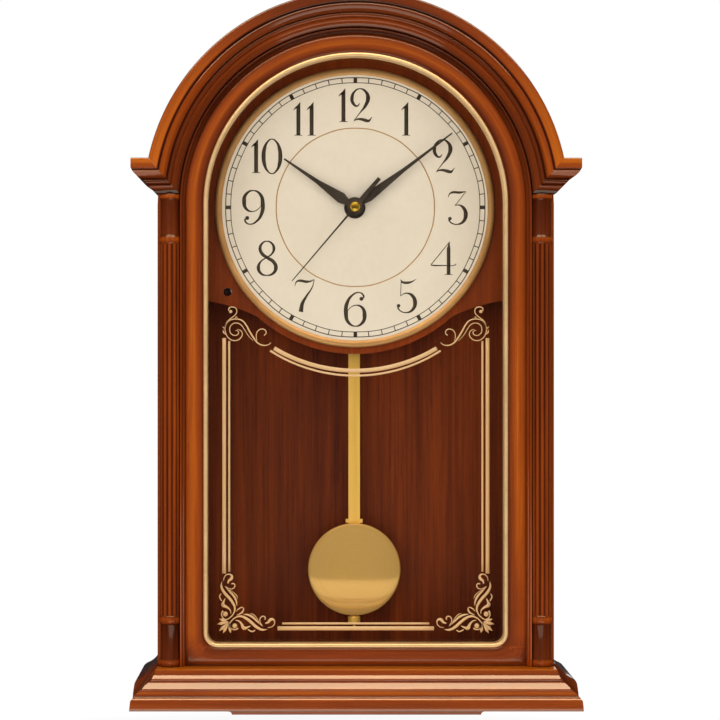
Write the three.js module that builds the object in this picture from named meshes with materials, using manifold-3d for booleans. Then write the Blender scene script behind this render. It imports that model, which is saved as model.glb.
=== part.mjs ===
// Pendulum wall clock: an arched wooden case with half columns, a glazed front, a round dial,
// a quartz movement with its gear train, and a free-swinging pendulum.
// Millimetres, +Z up, the front faces -Y and the wall is the plane y = 0.
// Heights below are measured up from the underside of the foot, and depths out from the wall.
// The last lines lift the whole group so that its origin is the point it hangs from.
import * as THREE from 'three';
import { mergeVertices } from 'three/addons/utils/BufferGeometryUtils.js';
import Module from 'manifold-3d';

const wasm = await Module();
wasm.setup();

// ---- Driving dimensions -------------------------------------------------------------------
const GAP = 0.3; // between pieces that touch
const HANG_HEIGHT = 452; // the nail or screw in the wall
const CASE_HALF = 145.1; // half the width of the carcase
const BOARD = 8; // thickness of the carcase boards
const ARCH_HEIGHT = 366.9; // centre of the arch, and of the dial
const ARC_STEPS = 32; // facets in each half circle of the arch
const FRAME_BACK = 58;
const FRAME_FRONT = 70;
const PLINTH_TOP = 29.3;
const FOOT_FRONT = 92;
const FOOT_HALF = 163.8;

const WINDOW_HALF = 111.8;
const WINDOW_BOTTOM = 42.2;
const WINDOW_CORNER = 11;
const BEAD_WIDTH = 3;
const GLASS_THICK = 3;

const CORNICE_OUTER = 154.2; // radius of the arch's outer edge
const CORNICE_TOP = 399.7; // top of the level shoulders
const SHOULDER_OVERHANG = 18.3;
const LISTEL_OUTER = 128.6;

const COLUMN_X = 135.7;
const FLUTE_DEPTH = 1.1;
const FLUTE_PITCH = 38 * Math.PI / 180;

const BOARD_FACE = 38; // front of the brown board behind the dial
const DIAL_RADIUS = 103.4;
const DIAL_FACE = 40.3;
const MOVEMENT_HALF = 29;
const MOVEMENT_TOP = 397;
const MOVEMENT_BOTTOM = 291;
const MOVEMENT_SPLIT = 24; // depth of the joint between its two shells
const MOVEMENT_BACK = 15;
const MOVEMENT_FRONT = 33.6;
const SHELL = 1.6;

const MINUTE_ANGLE = 52.7; // degrees clockwise from twelve
const HOUR_ANGLE = 304.4;
const SECOND_ANGLE = 220.4;

const PIVOT_HEIGHT = 307;
const ROD_DEPTH = 20;
const ROD_HALF_WIDTH = 4.35;
const BOB_HEIGHT = 94.5;
const BOB_RADIUS = 35;

// ---- Materials ----------------------------------------------------------------------------
const finish = (color, roughness, metalness = 0) =>
  new THREE.MeshStandardMaterial({ color, roughness, metalness });

const clock = new THREE.Group();
const v2 = (x, y) => new THREE.Vector2(x, y);
const v3 = (x, y, z) => new THREE.Vector3(x, y, z);

// ---- Geometry helpers ---------------------------------------------------------------------
// Merges shared corners, drops faces with no area and turns the faces outwards.
function closed(geometry) {
  geometry.deleteAttribute('normal');
  geometry.deleteAttribute('uv');
  const merged = mergeVertices(geometry, 1e-4);
  const { array } = merged.attributes.position;
  const at = (i) => v3(array[3 * i], array[3 * i + 1], array[3 * i + 2]);
  const faces = [];
  let volume = 0;
  for (let i = 0; i < merged.index.count; i += 3) {
    const face = [0, 1, 2].map((k) => merged.index.getX(i + k));
    if (new Set(face).size < 3) continue;
    const [a, b, c] = face.map(at);
    volume += a.dot(b.cross(c));
    faces.push(face);
  }
  if (volume < 0) faces.forEach((face) => face.reverse());
  merged.setIndex(faces.flat());
  return merged;
}

const indexed = (geometry) => (geometry.index ? geometry : mergeVertices(geometry, 1e-4));

function add(name, geometry, material) {
  const mesh = new THREE.Mesh(closed(indexed(geometry)), material);
  mesh.name = name;
  clock.add(mesh);
  return mesh;
}

function toManifold(geometry) {
  const ready = closed(indexed(geometry));
  return new wasm.Manifold(new wasm.Mesh({
    numProp: 3,
    vertProperties: new Float32Array(ready.attributes.position.array),
    triVerts: new Uint32Array(ready.index.array),
  }));
}

function toGeometry(manifold) {
  const mesh = manifold.getMesh();
  const geometry = new THREE.BufferGeometry();
  geometry.setAttribute('position', new THREE.BufferAttribute(new Float32Array(mesh.vertProperties), 3));
  geometry.setIndex(Array.from(mesh.triVerts));
  return geometry;
}

const join = (...pieces) => toGeometry(pieces.map(toManifold).reduce((a, b) => a.add(b)));
const cut = (piece, ...tools) =>
  toGeometry(tools.map(toManifold).reduce((a, b) => a.subtract(b), toManifold(piece)));

// A flat outline seen from the front, standing between two depths.
function plate(outline, back, front, holes = []) {
  const shape = new THREE.Shape(outline);
  shape.holes = holes.map((hole) => new THREE.Path(hole));
  const geometry = new THREE.ExtrudeGeometry(shape, { depth: front - back, bevelEnabled: false });
  return geometry.translate(0, 0, back).rotateX(Math.PI / 2);
}

// A round piece turned about an axis that runs out from the wall. Points are [radius, depth].
function turned(points, x, z, steps = 32) {
  const profile = points.map(([radius, depth]) => v2(radius, depth));
  return new THREE.LatheGeometry(profile, steps).rotateX(Math.PI).translate(x, 0, z);
}

const disc = (radius, back, front, x, z, steps = 24) =>
  turned([[0, back], [radius, back], [radius, front], [0, front]], x, z, steps);
const ring = (inner, outer, back, front, x, z, steps = 24) =>
  turned([[inner, back], [outer, back], [outer, front], [inner, front], [inner, back]], x, z, steps);

function block(x0, x1, depth0, depth1, z0, z1) {
  const geometry = new THREE.BoxGeometry(x1 - x0, depth1 - depth0, z1 - z0);
  return geometry.translate((x0 + x1) / 2, -(depth0 + depth1) / 2, (z0 + z1) / 2);
}

// Joins cross-sections that all have the same number of corners.
function loft(sections, outline) {
  const count = outline.length;
  const caps = THREE.ShapeUtils.triangulateShape(outline, []);
  if (THREE.ShapeUtils.area(outline) < 0) caps.forEach((cap) => cap.reverse());
  const faces = caps.map(([a, b, c]) => [c, b, a]);
  for (let s = 0; s < sections.length - 1; s += 1) {
    for (let j = 0; j < count; j += 1) {
      const p = s * count + j;
      const q = s * count + (j + 1) % count;
      faces.push([p, q, q + count], [p, q + count, p + count]);
    }
  }
  const last = (sections.length - 1) * count;
  caps.forEach((cap) => faces.push(cap.map((k) => k + last)));
  const geometry = new THREE.BufferGeometry().setFromPoints(sections.flat());
  geometry.setIndex(faces.flat());
  return geometry;
}

function arc(x, z, radius, from, to, steps) {
  const points = [];
  for (let i = 0; i <= steps; i += 1) {
    const angle = from + (to - from) * i / steps;
    points.push(v2(x + radius * Math.cos(angle), z + radius * Math.sin(angle)));
  }
  return points;
}

const circle = (x, z, radius, steps = 24) => arc(x, z, radius, 0, 2 * Math.PI, steps).slice(0, -1);
const rectangle = (x0, x1, z0, z1) => [v2(x0, z0), v2(x1, z0), v2(x1, z1), v2(x0, z1)];
const mirrored = (points) => points.map((p) => v2(-p.x, p.y)).reverse();

// Straight sides with a half circle on top and, below, square or rounded corners.
function archOutline(half, bottom, corner = 0) {
  const top = arc(0, ARCH_HEIGHT, half, 0, Math.PI, ARC_STEPS);
  if (corner === 0) return [...top, v2(-half, bottom), v2(half, bottom)];
  const x = half - corner;
  const left = arc(-x, bottom + corner, corner, Math.PI, 1.5 * Math.PI, 6);
  return [...top, ...left, ...mirrored(left)];
}

// A moulding that follows the arch. Its section is listed as [radius, depth].
function archMoulding(section, legBottom) {
  const at = (angle, drop) => section.map(([radius, depth]) =>
    v3(radius * Math.cos(angle), -depth, ARCH_HEIGHT + radius * Math.sin(angle) - drop));
  const sections = [at(0, ARCH_HEIGHT - legBottom)];
  for (let i = 0; i <= ARC_STEPS; i += 1) sections.push(at(Math.PI * i / ARC_STEPS, 0));
  sections.push(at(Math.PI, ARCH_HEIGHT - legBottom));
  return loft(sections, section.map(([radius, depth]) => v2(radius, depth)));
}

// ---- Carcase ------------------------------------------------------------------------------
const STAIN = finish('#a3470f', 0.35);
const DARK_STAIN = finish('#7a3312', 0.4);

function buildCarcase() {
  for (const [side, name] of [[-1, 'side_left'], [1, 'side_right']]) {
    const inner = CASE_HALF - BOARD;
    const edges = [side * inner, side * CASE_HALF].sort((a, b) => a - b);
    add(name, block(...edges, 0, FRAME_BACK - GAP, PLINTH_TOP + GAP, ARCH_HEIGHT - GAP), DARK_STAIN);
  }
  const inner = CASE_HALF - BOARD;
  const roof = [
    ...arc(0, ARCH_HEIGHT, CASE_HALF, 0, Math.PI, ARC_STEPS),
    ...arc(0, ARCH_HEIGHT, inner, Math.PI, 0, ARC_STEPS),
  ];
  add('arched_roof', plate(roof, 0, FRAME_BACK - GAP), DARK_STAIN);
  add('bottom_board', block(-CASE_HALF, CASE_HALF, 0, FRAME_BACK - GAP, 21.3, PLINTH_TOP), DARK_STAIN);
  buildBackPanel(inner - GAP);
}

// Its cut-out lets a hand reach the movement and the cells; the small hole clears the hanging screw.
function buildBackPanel(half) {
  const access = [
    ...arc(94, 308, 6, 1.5 * Math.PI, 2 * Math.PI, 3), ...arc(94, 412, 6, 0, Math.PI / 2, 3),
    ...arc(-94, 412, 6, Math.PI / 2, Math.PI, 3), ...arc(-94, 308, 6, Math.PI, 1.5 * Math.PI, 3),
  ];
  const screwHole = keyhole(6.5, 4);
  const panel = plate(archOutline(half, PLINTH_TOP + GAP), 2, 6, [access, screwHole]);
  add('back_panel', panel, finish('#4f1f09', 0.6));
  const hanger = plate(rectangle(-17, 17, HANG_HEIGHT - 20, HANG_HEIGHT + 10), 0.5, 1.7, [keyhole(5, 2.5)]);
  add('hanger_plate', hanger, finish('#b8b5ac', 0.4, 1));
}

// A round hole for the screw head with a narrow slot above it that ends at the hanging point.
function keyhole(head, slot) {
  const low = HANG_HEIGHT - 11;
  const half = Math.asin(slot / head);
  return [
    ...arc(0, low, head, Math.PI / 2 + half, 2.5 * Math.PI - half, 14),
    ...arc(0, HANG_HEIGHT, slot, 0, Math.PI, 6),
  ];
}

// ---- Front: frame, glass, bead ------------------------------------------------------------
function buildFront() {
  const frame = plate(archOutline(CASE_HALF, PLINTH_TOP + GAP), FRAME_BACK, FRAME_FRONT,
    [archOutline(WINDOW_HALF, WINDOW_BOTTOM, WINDOW_CORNER)]);
  const glassHalf = WINDOW_HALF + 5;
  const glassBottom = WINDOW_BOTTOM - 5;
  const rebate = plate(archOutline(glassHalf + GAP, glassBottom - GAP), FRAME_BACK - 1, 62);
  add('front_frame', cut(frame, rebate), STAIN);
  const glassFront = 62 - GAP;
  const pane = plate(archOutline(glassHalf, glassBottom), glassFront - GLASS_THICK, glassFront);
  const clear = finish('#e8efe9', 0.05);
  clear.transparent = true;
  clear.opacity = 0.2;
  add('glass_pane', pane, clear);

  const outer = WINDOW_HALF - GAP;
  const bead = plate(archOutline(outer, WINDOW_BOTTOM + GAP, WINDOW_CORNER - GAP), 62, FRAME_FRONT + 1.2,
    [archOutline(outer - BEAD_WIDTH, WINDOW_BOTTOM + GAP + BEAD_WIDTH, WINDOW_CORNER - BEAD_WIDTH)]);
  add('window_bead', bead, finish('#cda35c', 0.3, 1));

  for (const [side, name] of [[-1, 'glass_stop_left'], [1, 'glass_stop_right']]) {
    const edges = [side * (glassHalf - 5), side * (glassHalf + 8)].sort((a, b) => a - b);
    const stop = block(...edges, FRAME_BACK - GAP - 2.2, FRAME_BACK - GAP, 80, 330);
    add(name, stop, finish('#5a2812', 0.6));
  }

  const r = LISTEL_OUTER;
  const section = [
    [r - 3.8, 70.3], [r - 3.6, 71.8], [r - 3, 73], [r - 2.2, 73.4], [r - 1.9, 74.2],
    [r - 1.4, 75.2], [r - 0.5, 75.4], [r, 74.9], [r, 70.3],
  ];
  add('frame_listel', archMoulding(section, PLINTH_TOP + GAP), DARK_STAIN);
}

// ---- Cornice ------------------------------------------------------------------------------
// Face of the moulding, as [distance in from its outer edge, depth].
const CORNICE_FACE = [
  [0, 84.6], [1.2, 86], [7.6, 86], [8.6, 84.4], [9.3, 84.4], [9.9, 85.2], [12.6, 84.2], [14.8, 81.9],
  [15.4, 80.7], [16.2, 81.1], [18.2, 80.3], [19.2, 79], [20, 79.4], [21.6, 78.6], [22.6, 77.2], [24.8, 76.2],
];
const CORNICE_WIDTH = 24.8;
const WRAP_IN = CORNICE_OUTER - CASE_HALF - GAP; // how far the part that laps over the roof reaches in
const WRAP_BACK = 52;
const COVE_TOP = 7;
const COVE_HEIGHT = 19;

function sideOverhang(t) {
  if (t <= COVE_TOP) return SHOULDER_OVERHANG;
  const share = Math.min((t - COVE_TOP) / COVE_HEIGHT, 1);
  return SHOULDER_OVERHANG * (1 - share) + 1.6 * Math.sin(Math.PI * Math.min(2.2 * share, 1));
}

// Where the arch and the level shoulder meet, for a point at distance t in from the outer edge.
const mitreAngle = (t) => Math.asin((CORNICE_TOP - ARCH_HEIGHT - t) / (CORNICE_OUTER - t));
const mitreX = (t) => (CORNICE_OUTER - t) * Math.cos(mitreAngle(t));

function buildCornice() {
  const face = FRAME_FRONT + GAP;
  const section = [...CORNICE_FACE, [CORNICE_WIDTH, face], [WRAP_IN, face], [WRAP_IN, WRAP_BACK], [0, WRAP_BACK]];
  const clearance = 0.0022;
  const sections = [];
  for (let i = 0; i <= ARC_STEPS; i += 1) {
    sections.push(section.map(([t, depth]) => {
      const start = mitreAngle(t) + clearance;
      const angle = start + (Math.PI - 2 * start) * i / ARC_STEPS;
      const radius = CORNICE_OUTER - t;
      return v3(radius * Math.cos(angle), -depth, ARCH_HEIGHT + radius * Math.sin(angle));
    }));
  }
  add('cornice_arch', loft(sections, section.map(([t, depth]) => v2(t, depth))), STAIN);
  add('cornice_right', shoulder(1), STAIN);
  add('cornice_left', shoulder(-1), STAIN);
}

// A level shoulder: along the front from the mitre to the corner, then back to the wall.
function shoulder(side) {
  const face = FRAME_FRONT + GAP;
  const innerX = CASE_HALF + GAP;
  const upper = 6.6;
  const inner = [[CORNICE_WIDTH, innerX], [upper, innerX + GAP], [0, mitreX(0) + GAP]];
  const point = (x, depth, t) => v3(side * x, -depth, CORNICE_TOP - t);
  const atMitre = [
    ...CORNICE_FACE.map(([t, depth]) => point(mitreX(t) + GAP, depth, t)),
    point(mitreX(CORNICE_WIDTH) + GAP, face, CORNICE_WIDTH),
    ...inner.slice(1).map(([t, x]) => point(x, face, t)),
  ];
  const atCorner = [
    ...CORNICE_FACE.map(([t, depth]) => point(CASE_HALF + sideOverhang(t), depth, t)),
    ...inner.map(([t, x]) => point(x, face, t)),
  ];
  const atWall = [
    ...CORNICE_FACE.map(([t]) => point(CASE_HALF + sideOverhang(t), 0, t)),
    ...inner.map(([t, x]) => point(x, 0, t)),
  ];
  const outline = [
    ...CORNICE_FACE.map(([t]) => v2(CASE_HALF + sideOverhang(t), -t)),
    ...inner.map(([t, x]) => v2(x, -t)),
  ];
  return loft([atMitre, atCorner, atWall], outline);
}

// ---- Half columns -------------------------------------------------------------------------
// Heights and radii of the turned ends, and the fluted shaft between them.
const COLUMN_RINGS = [
  { z: 29.6, r: 7.9 }, { z: 33.4, r: 8.1 }, { z: 35.4, r: 7.6 }, { z: 35.6, r: 7.2 },
  { z: 60.6, r: 7.2 }, { z: 61, r: 7.8 }, { z: 63.8, r: 8.2 }, { z: 66.5, r: 7.8 },
  { z: 67, r: 7.5, fluted: true }, { z: 337.4, r: 7.5, fluted: true },
  { z: 337.9, r: 7.8 }, { z: 340.8, r: 8.2 }, { z: 343.6, r: 7.8 }, { z: 344, r: 7.2 },
  { z: 370.2, r: 7.2 }, { z: 370.8, r: 7.7 }, { z: 372.6, r: 8 }, { z: 374.5, r: 7.6 },
];

function buildColumns() {
  const steps = 24;
  const back = FRAME_FRONT + GAP;
  for (const [side, name] of [[-1, 'column_left'], [1, 'column_right']]) {
    const sections = COLUMN_RINGS.map(({ z, r, fluted }) => {
      const points = [];
      for (let i = 0; i <= steps; i += 1) {
        const angle = Math.PI * (i / steps - 0.5);
        const hollow = fluted ? (0.5 + 0.5 * Math.cos(2 * Math.PI * angle / FLUTE_PITCH)) ** 1.5 : 0;
        const radius = r - FLUTE_DEPTH * hollow;
        const x = Math.max(COLUMN_X + radius * Math.sin(angle), LISTEL_OUTER + GAP);
        points.push(v3(side * x, -back - radius * Math.cos(angle), z));
      }
      return points;
    });
    add(name, loft(sections, sections[0].map((p) => v2(p.x, p.y))), DARK_STAIN);
  }
}

// ---- Plinth -------------------------------------------------------------------------------
// Front moulding as [depth, height, reach past the carcase at its mitred ends].
const PLINTH_FACE = [
  [85.6, PLINTH_TOP, 0], [86.4, 28.6, 0.1], [86.4, 25, 1.4], [87.4, 24.4, 2], [88, 23.2, 2.6],
  [87.4, 22, 3.2], [86, 21.2, 3.6], [86, 20, 5], [88.4, 19, 7], [89.2, 17.2, 8.5], [88.4, 15.4, 9.6],
  [86.8, 14.4, 11], [87.2, 12.4, 13.6], [88.6, 11.3, 14.9], [88.6, 10.4, 15.6], [90.6, 9.8, 16.2],
  [91.7, 8.6, 17.2], [FOOT_FRONT, 7, 18], [FOOT_FRONT, 0, FOOT_HALF - CASE_HALF],
];
// Side moulding as [reach, height]: a cove between two flats.
const PLINTH_SIDE = [
  [0.8, 31], [3.6, 28.4], [6.2, 25.6], [8.6, 23], [11.6, 21], [14.6, 19.4], [16.6, 17.2],
  [17.4, 13], [18.2, 8.4], [18.4, 0],
];

function buildPlinth() {
  const back = FRAME_FRONT + GAP;
  const section = [...PLINTH_FACE, [back, 0, 18.4], [back, PLINTH_TOP, 0]];
  const end = (side) => section.map(([depth, z, reach]) => v3(side * (CASE_HALF + reach), -depth, z));
  const moulding = loft([end(-1), end(1)], section.map(([depth, z]) => v2(depth, z)));
  const underFrame = block(-CASE_HALF, CASE_HALF, FRAME_BACK, back + 1, 0, PLINTH_TOP);
  add('plinth_front', join(moulding, underFrame), STAIN);
  const inner = CASE_HALF + GAP;
  for (const [side, name] of [[-1, 'plinth_left'], [1, 'plinth_right']]) {
    const outline = [
      ...PLINTH_SIDE.map(([reach, z]) => v2(side * (CASE_HALF + reach), z)),
      v2(side * inner, 0), v2(side * inner, 31),
    ];
    add(name, plate(outline, 0, FRAME_FRONT), STAIN);
  }
  const drop = 2.2;
  const left = arc(-92, -GAP - drop, drop, Math.PI / 2, 0, 4);
  const apron = [...left, ...mirrored(left)];
  add('bottom_apron', plate(apron, 62, FOOT_FRONT - 1), STAIN);
}

// ---- Dial ---------------------------------------------------------------------------------
const SENSOR = { x: -95.4, z: 304.1 };

function buildDial() {
  const half = CASE_HALF - BOARD - 2 * GAP;
  const sweep = 109.3;
  const turn = 42 * Math.PI / 180;
  const low = arc(0, ARCH_HEIGHT, sweep, 1.5 * Math.PI - turn, 1.5 * Math.PI, 12);
  const flare = new THREE.CubicBezierCurve(v2(-half, 300.5), v2(-112, 299.5), v2(-88, 293.5), low[0]);
  const lowerLeft = [...flare.getPoints(8), ...low.slice(1)];
  const outline = [
    ...arc(0, ARCH_HEIGHT, half, 0, Math.PI, ARC_STEPS), ...lowerLeft, ...mirrored(lowerLeft).slice(1),
  ];
  const bushHole = circle(0, ARCH_HEIGHT, 4.4);
  const sensorHole = circle(SENSOR.x, SENSOR.z, 3.25, 16);
  const board = plate(outline, BOARD_FACE - 4, BOARD_FACE, [bushHole, sensorHole]);
  add('dial_board', board, finish('#602714', 0.6));
  const plateRim = circle(0, ARCH_HEIGHT, DIAL_RADIUS - 3.4, 56);
  add('dial_plate', plate(plateRim, BOARD_FACE + GAP, DIAL_FACE, [bushHole]), finish('#e8dabc', 0.5));
  const inner = DIAL_RADIUS - 3;
  const rim = [
    [inner, 38.3], [104.5, 38.3], [104.5, 41.4], [103.4, 43], [101.6, 43], [inner, 41], [inner, 38.3],
  ];
  add('dial_ring', turned(rim, 0, ARCH_HEIGHT, 56), finish('#b98748', 0.3, 1));
}

// ---- Hands --------------------------------------------------------------------------------
// Half widths along a hand that points to twelve, then turned to its place on the dial.
function hand(halfWidths, tail, hub, bore, back, front, degrees) {
  const right = halfWidths.map(([along, width]) => v2(width, along));
  const blade = [...right, ...mirrored(right)];
  if (tail) blade.push(v2(-tail.root, 0), v2(-tail.end, -tail.length), v2(tail.end, -tail.length), v2(tail.root, 0));
  let geometry = join(plate(blade, back, front), disc(hub, back, front, 0, 0, 32));
  if (bore) geometry = cut(geometry, disc(bore, back - 1, front + 1, 0, 0, 16));
  return geometry.rotateY(degrees * Math.PI / 180).translate(0, 0, ARCH_HEIGHT);
}

function buildHands() {
  const black = finish('#1d1712', 0.45);
  const hour = [[0, 1.7], [5, 1.9], [12.5, 4.1], [34, 1.6], [64, 0.6]];
  const minute = [[0, 1.6], [5, 1.8], [12.5, 3.7], [46, 1.4], [90.9, 0.5]];
  const second = [[0, 0.9], [20, 0.6], [72.3, 0.35]];
  const tail = { root: 2, end: 1.4, length: 28 };
  add('hour_hand', hand(hour, null, 5.2, 3.2, 44.9, 45.7, HOUR_ANGLE), black);
  add('minute_hand', hand(minute, null, 5.6, 2.1, 47, 47.8, MINUTE_ANGLE), black);
  add('second_hand', hand(second, tail, 5.8, 0.8, 49.1, 49.6, SECOND_ANGLE), black);
  const cap = [[0, 49.9], [3.65, 49.9], [3.65, 51.1], [3, 51.9], [1.6, 52.4], [0, 52.5]];
  add('hand_cap', turned(cap, 0, ARCH_HEIGHT, 24), finish('#c9a52d', 0.25, 1));
}

// ---- Gears --------------------------------------------------------------------------------
const BRASS = finish('#c8a04a', 0.35, 1);
const NYLON = finish('#ece7d8', 0.5);

function gearOutline(teeth, module, phase) {
  const pitch = 2 * Math.PI / teeth;
  const radius = module * teeth / 2;
  const slim = teeth < 20 ? 0.85 : 1;
  const corners = [
    [-0.25 * slim, radius - 1.05 * module], [-0.11 * slim, radius + 0.7 * module],
    [0.11 * slim, radius + 0.7 * module], [0.25 * slim, radius - 1.05 * module],
  ];
  const points = [];
  for (let tooth = 0; tooth < teeth; tooth += 1) {
    for (const [offset, r] of corners) {
      const angle = phase + pitch * (tooth + offset);
      points.push(v2(r * Math.cos(angle), r * Math.sin(angle)));
    }
  }
  return points;
}

// The phase of gear B, standing in direction `towards` from gear A, that puts their teeth in mesh.
function meshPhase(teethA, phaseA, towards, teethB) {
  const share = (towards - phaseA) * teethA / (2 * Math.PI);
  return towards + Math.PI - (0.5 - share) * 2 * Math.PI / teethB;
}

const gear = (teeth, module, phase, back, front) => plate(gearOutline(teeth, module, phase), back, front);
const radians = (degrees) => degrees * Math.PI / 180;

// Teeth. From the rotor to the seconds the train steps down 5 and 6 times, from the seconds to the
// minutes 7.5 and 8 times, and the motion work steps down 3 and 4 times from the minutes to the hours.
const LEAF = 6; // teeth of each pinion in the running train
const INTERMEDIATE_TEETH = 30;
const SECOND_TEETH = 36;
const THIRD_TEETH = 45;
const CENTRE_TEETH = 48;
const CANNON_TEETH = 8;
const MINUTE_TEETH = 24;
const HOUR_TEETH = 32;

// Distances between the arbors of gears in mesh, and their modules.
const THIRD_AWAY = 14.4;
const INTERMEDIATE_AWAY = 10.6;
const ROTOR_AWAY = 9.6;
const MOTION_AWAY = 12;
const fit = (away, teethA, teethB) => 2 * away / (teethA + teethB);
const THIRD_MODULE = fit(THIRD_AWAY, LEAF, THIRD_TEETH);
const CENTRE_MODULE = fit(THIRD_AWAY, LEAF, CENTRE_TEETH);
const SECOND_MODULE = fit(INTERMEDIATE_AWAY, LEAF, SECOND_TEETH);
const MOTOR_MODULE = fit(ROTOR_AWAY, LEAF, INTERMEDIATE_TEETH);
const MOTION_MODULE = fit(MOTION_AWAY, CANNON_TEETH, MINUTE_TEETH);
const HOUR_MODULE = fit(MOTION_AWAY, CANNON_TEETH, HOUR_TEETH);

const away = (from, distance, angle) =>
  ({ x: from.x + distance * Math.cos(angle), z: from.z + distance * Math.sin(angle) });
const CENTRE = { x: 0, z: ARCH_HEIGHT };
const THIRD_AT = radians(90);
const THIRD = away(CENTRE, THIRD_AWAY, THIRD_AT);
const INTERMEDIATE_AT = radians(200);
const INTERMEDIATE = away(CENTRE, INTERMEDIATE_AWAY, INTERMEDIATE_AT);
const ROTOR_AT = radians(230);
const ROTOR = away(INTERMEDIATE, ROTOR_AWAY, ROTOR_AT);
const MINUTE_AT = 0;
const MINUTE_WHEEL = away(CENTRE, MOTION_AWAY, MINUTE_AT);
const KNOB_AT = radians(-60);
const KNOB = away(MINUTE_WHEEL, MOTION_AWAY, KNOB_AT);

const placed = (geometry, at) => geometry.translate(at.x, 0, at.z);

function buildRunningTrain() {
  const thirdPhase = meshPhase(LEAF, 0, THIRD_AT, THIRD_TEETH);
  const centrePhase = meshPhase(LEAF, thirdPhase, THIRD_AT + Math.PI, CENTRE_TEETH);
  const intermediatePhase = meshPhase(SECOND_TEETH, 0, INTERMEDIATE_AT, LEAF);
  const rotorPhase = meshPhase(INTERMEDIATE_TEETH, intermediatePhase, ROTOR_AT, LEAF);

  const second = join(gear(SECOND_TEETH, SECOND_MODULE, 0, 20, 21),
    gear(LEAF, THIRD_MODULE, 0, 20.5, 23.5), disc(0.5, 17.2, 49.8, 0, 0, 12));
  add('second_wheel', placed(second, CENTRE), NYLON);
  const third = join(gear(THIRD_TEETH, THIRD_MODULE, thirdPhase, 22.2, 23.2),
    gear(LEAF, CENTRE_MODULE, thirdPhase, 23, 26.4),
    disc(0.6, 17.2, 27.2, 0, 0, 12));
  add('third_wheel', placed(third, THIRD), NYLON);
  const centre = cut(gear(CENTRE_TEETH, CENTRE_MODULE, centrePhase, 25, 26.2), disc(2.15, 20, 30, 0, 0, 16));
  add('centre_wheel', placed(centre, CENTRE), BRASS);
  const intermediate = join(gear(INTERMEDIATE_TEETH, MOTOR_MODULE, intermediatePhase, 18, 18.9),
    gear(LEAF, SECOND_MODULE, intermediatePhase, 18.6, 21.3), disc(0.5, 17, 24, 0, 0, 12));
  add('intermediate_wheel', placed(intermediate, INTERMEDIATE), NYLON);
  const rotor = join(gear(LEAF, MOTOR_MODULE, rotorPhase, 17.8, 20), disc(2.7, 19.8, 23.2, 0, 0, 20),
    disc(0.5, 17, 26, 0, 0, 12));
  add('rotor', placed(rotor, ROTOR), finish('#3b3b3f', 0.4, 0.8));
}

function buildMotionWork() {
  const minutePhase = meshPhase(CANNON_TEETH, 0, MINUTE_AT, MINUTE_TEETH);
  const hourPhase = meshPhase(CANNON_TEETH, minutePhase, MINUTE_AT + Math.PI, HOUR_TEETH);
  const knobPhase = meshPhase(MINUTE_TEETH, minutePhase, KNOB_AT, CANNON_TEETH);

  const arbor = cut(join(gear(CANNON_TEETH, MOTION_MODULE, 0, 27.4, 29.2), disc(1.8, 24.6, 48.4, 0, 0, 20)),
    disc(0.8, 20, 60, 0, 0, 16));
  add('minute_arbor', placed(arbor, CENTRE), BRASS);
  const hour = cut(join(gear(HOUR_TEETH, HOUR_MODULE, hourPhase, 30.2, 31.4), disc(2.9, 30.2, 46.3, 0, 0, 24)),
    disc(2.1, 20, 60, 0, 0, 20));
  add('hour_wheel', placed(hour, CENTRE), NYLON);
  const minute = join(gear(MINUTE_TEETH, MOTION_MODULE, minutePhase, 27.6, 28.8),
    gear(CANNON_TEETH, HOUR_MODULE, minutePhase, 28.6, 31.4), disc(0.7, 26.9, 31.7, 0, 0, 12));
  add('minute_wheel', placed(minute, MINUTE_WHEEL), NYLON);
  const knob = join(gear(CANNON_TEETH, MOTION_MODULE, knobPhase, 27.5, 29), disc(1.6, 14.2, 28, 0, 0, 12),
    turned([[0, 10.2], [4, 10.2], [4.6, 10.8], [4.6, 13.8], [4, 14.4], [0, 14.4]], 0, 0, 16));
  add('setting_knob', placed(knob, KNOB), finish('#e4e2dc', 0.45));
}

// ---- Movement: shells, motor, cell ---------------------------------------------------------
const PLASTIC = finish('#20201f', 0.5);
const STATOR_X = ROTOR.x - 0.8;
const CELL_HEIGHT = 322;
const CELL_DEPTH = 24;

function buildMovement() {
  const m = MOVEMENT_HALF;
  const [low, high] = [MOVEMENT_BOTTOM, MOVEMENT_TOP];
  const armSlot = block(-16, 16, 17, 30, low - 2, low + 4);
  const baseBox = block(-m, m, MOVEMENT_SPLIT + GAP, MOVEMENT_FRONT, low, high);
  const baseRoom = block(-m + SHELL, m - SHELL, 20, MOVEMENT_FRONT - SHELL, low + SHELL, high - SHELL);
  const bush = disc(4, 32.4, 44.2, 0, ARCH_HEIGHT, 28);
  const bore = disc(3.2, 20, 60, 0, ARCH_HEIGHT, 24);
  add('movement_base', cut(join(cut(baseBox, baseRoom), bush), bore, armSlot), PLASTIC);

  const coverBox = block(-m, m, MOVEMENT_BACK, MOVEMENT_SPLIT, low, high);
  const coverRoom = block(-m + SHELL, m - SHELL, MOVEMENT_BACK + SHELL, 28, low + SHELL, high - SHELL);
  const cellDoor = block(-26.2, 26.2, 10, 18, CELL_HEIGHT - 7.6, CELL_HEIGHT + 7.6);
  const knobHole = disc(2.1, 10, 18, KNOB.x, KNOB.z, 20);
  add('movement_cover', cut(coverBox, coverRoom, cellDoor, knobHole, armSlot), PLASTIC);

  const washer = ring(4.3, 8, DIAL_FACE + GAP, DIAL_FACE + 0.9, 0, ARCH_HEIGHT, 28);
  add('fixing_washer', washer, BRASS);
  const nut = plate(circle(0, ARCH_HEIGHT, 6.6, 6), DIAL_FACE + 1.2, 43.7, [circle(0, ARCH_HEIGHT, 4.3, 24)]);
  add('fixing_nut', nut, BRASS);
}

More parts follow.
